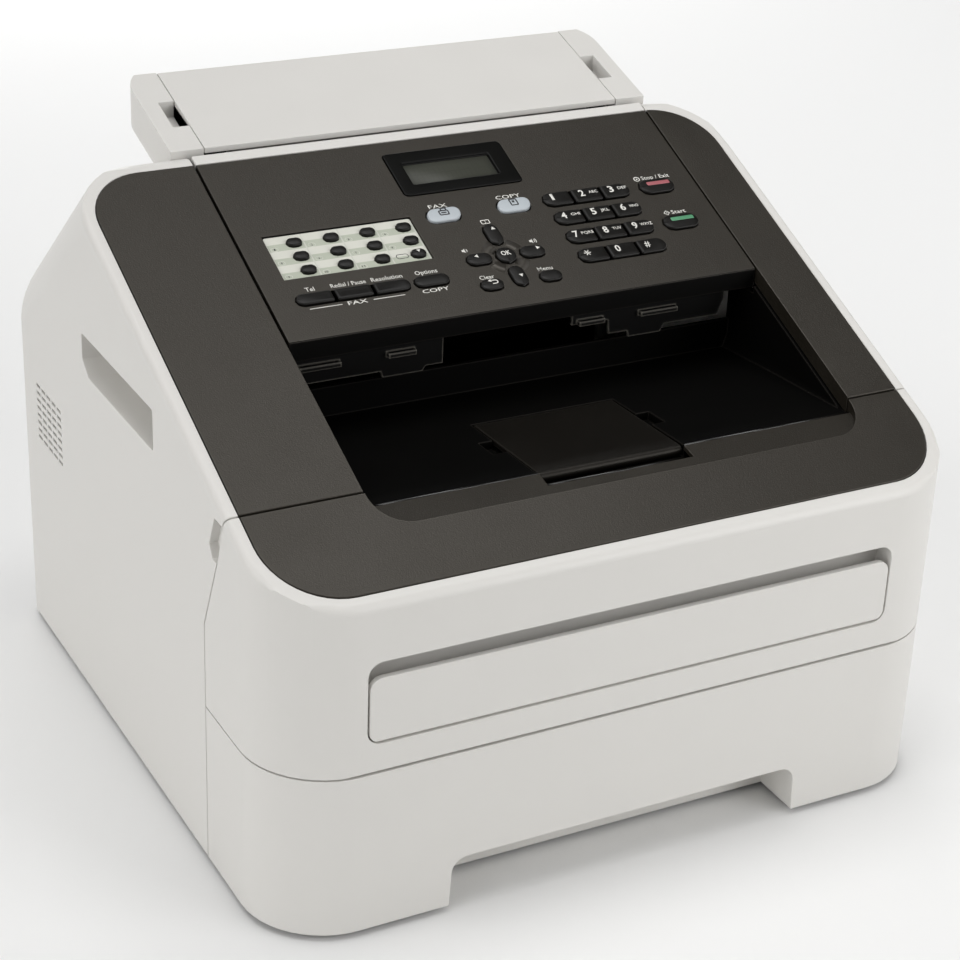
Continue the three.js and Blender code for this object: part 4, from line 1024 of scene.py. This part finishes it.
# %% Rubber feet
base = corners_of("base_frame") / MM
soles = base[base[:, 2] < 0.1]
behind = soles[:, 1] > soles[:, 1].mean()
FOOT = [(8.2, 0.0, 0), (9.6, 0.25, 0), (10.3, 1.0, 0), (10.3, 4.6, 0), (9.9, 5.2, 0)]
feet = []
for left in (soles[:, 0] < 0, soles[:, 0] > 0):
    for rear in (behind, ~behind):
        spot = soles[left & rear]
        centre = (spot.min(0) + spot.max(0)) / 2
        feet.append(turned(FOOT, (centre[0], centre[1], 0), (0, 0, 1)))
points, faces = joined(feet)
new_piece("rubber_feet", points, faces, RUBBER, "base_frame", "pickup_roller")
print("feet:", len(feet))

# %% [markdown]
# A few things are too thin for CAD but are what the eye looks for: the rounded front edge of the bin's
# floor and the rib in the pocket before the stop flap, which catch the light as fine lines, the sprung
# contact wires in the telephone sockets, and the screws that hold the case together. Edges and ribs are
# outlines carried along x. Wires are circles carried along a path. Screws are turned, with a relief.

# %% Edges of the output bin
def extruded(outline, x0, x1):
    """A closed outline of (y, z) points, counter-clockwise seen from +x, carried from x0 to x1. Millimetres
    in, metres out."""
    outline = np.asarray(outline, float)
    ends = [np.concatenate([np.full((len(outline), 1), x), outline], 1) for x in (x0, x1)]
    return MM * np.concatenate(ends), ring_faces(2, len(outline))


BEAD, RIB_HALF, FLAP_GAP = 0.75, 0.7, 1.0
tub = corners_of("output_bin") / MM
floor_edge = tub[(tub[:, 1] < -120) & (tub[:, 2] > 188)]
(left, edge_y, _), (right, _, edge_z) = floor_edge.min(0), floor_edge.max(0)
flap_low, flap_high = (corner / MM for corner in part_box("output_stop_flap"))
bead = arc(edge_y, edge_z - 0.1, BEAD, 0, 345, 24)
rib_y, rib_top = flap_low[1] - 3.2, flap_low[2] + 2.2
rib_foot = rib_top - 5
rib = np.concatenate([[(rib_y + RIB_HALF, rib_foot)],
                      arc(rib_y, rib_top - RIB_HALF, RIB_HALF, 0, 180, 10),
                      [(rib_y - RIB_HALF, rib_foot)]])
points, faces = joined([extruded(bead, left, flap_low[0] - FLAP_GAP),
                        extruded(bead, flap_high[0] + FLAP_GAP, right),
                        extruded(rib, flap_low[0], flap_high[0])])
new_piece("bin_edges", points, faces, POLISHED, "output_bin")
print("floor edge at y", round(edge_y, 1), "z", round(edge_z, 1), "mm")


# %% Contact wires of the telephone sockets
def wire(path, x, radius, around=8):
    """A round wire along (y, z) points in the plane of one x: at each point a circle square to the path."""
    path = np.asarray(path, float)
    along = np.gradient(path, axis=0)
    along /= np.linalg.norm(along, axis=1, keepdims=True)
    aside = np.stack([-along[:, 1], along[:, 0]], -1)
    turn = np.linspace(0, 2 * math.pi, around, endpoint=False)
    across = np.broadcast_to((x - radius * np.cos(turn))[None, :, None], (len(path), around, 1))
    plane = path[:, None, :] + radius * np.sin(turn)[None, :, None] * aside[:, None, :]
    return MM * np.concatenate([across, plane], -1).reshape(-1, 3), ring_faces(len(path), around)


OPENINGS = {opening["name"]: np.array(opening["box_m"]) / MM
            for opening in frame["record"]["physics"]["openings"]}
wires = []
for name in ("line_socket", "handset_socket"):
    (x0, y0, z0), (x1, y1, z1) = OPENINGS[name]
    bent = [(y1 - 2, z1 + 0.3), (y1 - 3, z1 - 0.4), (y1 - 7, z1 - 3.2), (y0, z0 + 3)]
    wires += [wire(bent, x, radius=0.3) for x in np.linspace(x0 + 2, x1 - 2, 4)]
points, faces = joined(wires)
new_piece("socket_contacts", points, faces, GOLD, "socket_panel", "base_frame")
print("contact wires:", len(wires))


# %% Screws
SCREW = [(2.9, -0.6, 0), (2.9, 0.5, 0), (2.75, 0.9, 0), (2.4, 1.15, 0), (2.0, 1.3, 0), (1.7, 1.35, 0),
         (1.4, 1.4, 0), (1.1, 1.4, 0), (0.8, 1.4, 0), (0.5, 1.4, 0), (0.2, 1.4, 0)]


def cross_recess(radius, angle):
    """Depth of a cross pressed into a head: full inside either bar of the cross, none past its reach."""
    aside = np.minimum(np.abs(radius * np.sin(angle)), np.abs(radius * np.cos(angle)))
    return -0.8 * np.clip((0.55 - aside) / 0.2, 0, 1) * np.clip((1.95 - radius) / 0.3, 0, 1)


def surface_at(node, start, direction):
    """Where a straight line first meets a node, in millimetres."""
    tree = BVHTree.FromPolygons(corners_of(node).tolist(), triangles_of(node).tolist())
    return np.array(tree.ray_cast(Vector(start) * MM, Vector(direction))[0]) / MM


SITES = [("left_side_cover", -160, 78), ("left_side_cover", -160, 190), ("right_side_cover", 160, 32),
         ("right_side_cover", 160, 190), ("rear_frame_cover", -70, 14), ("rear_frame_cover", 70, 14)]
BEHIND, BELOW = 250, -20
lines = [(node, (x, BEHIND, z), (0, -1, 0)) for node, x, z in SITES]
lines += [("base_frame", (x, y, BELOW), (0, 0, 1)) for x in (-150, 150) for y in (-40, 30, 110)]
screws = [turned(SCREW, surface_at(*line), -np.array(line[2]), relief=cross_recess) for line in lines]
points, faces = joined(screws)
new_piece("case_screws", points, faces, STEEL, "base_frame")
print("screws:", len(screws))
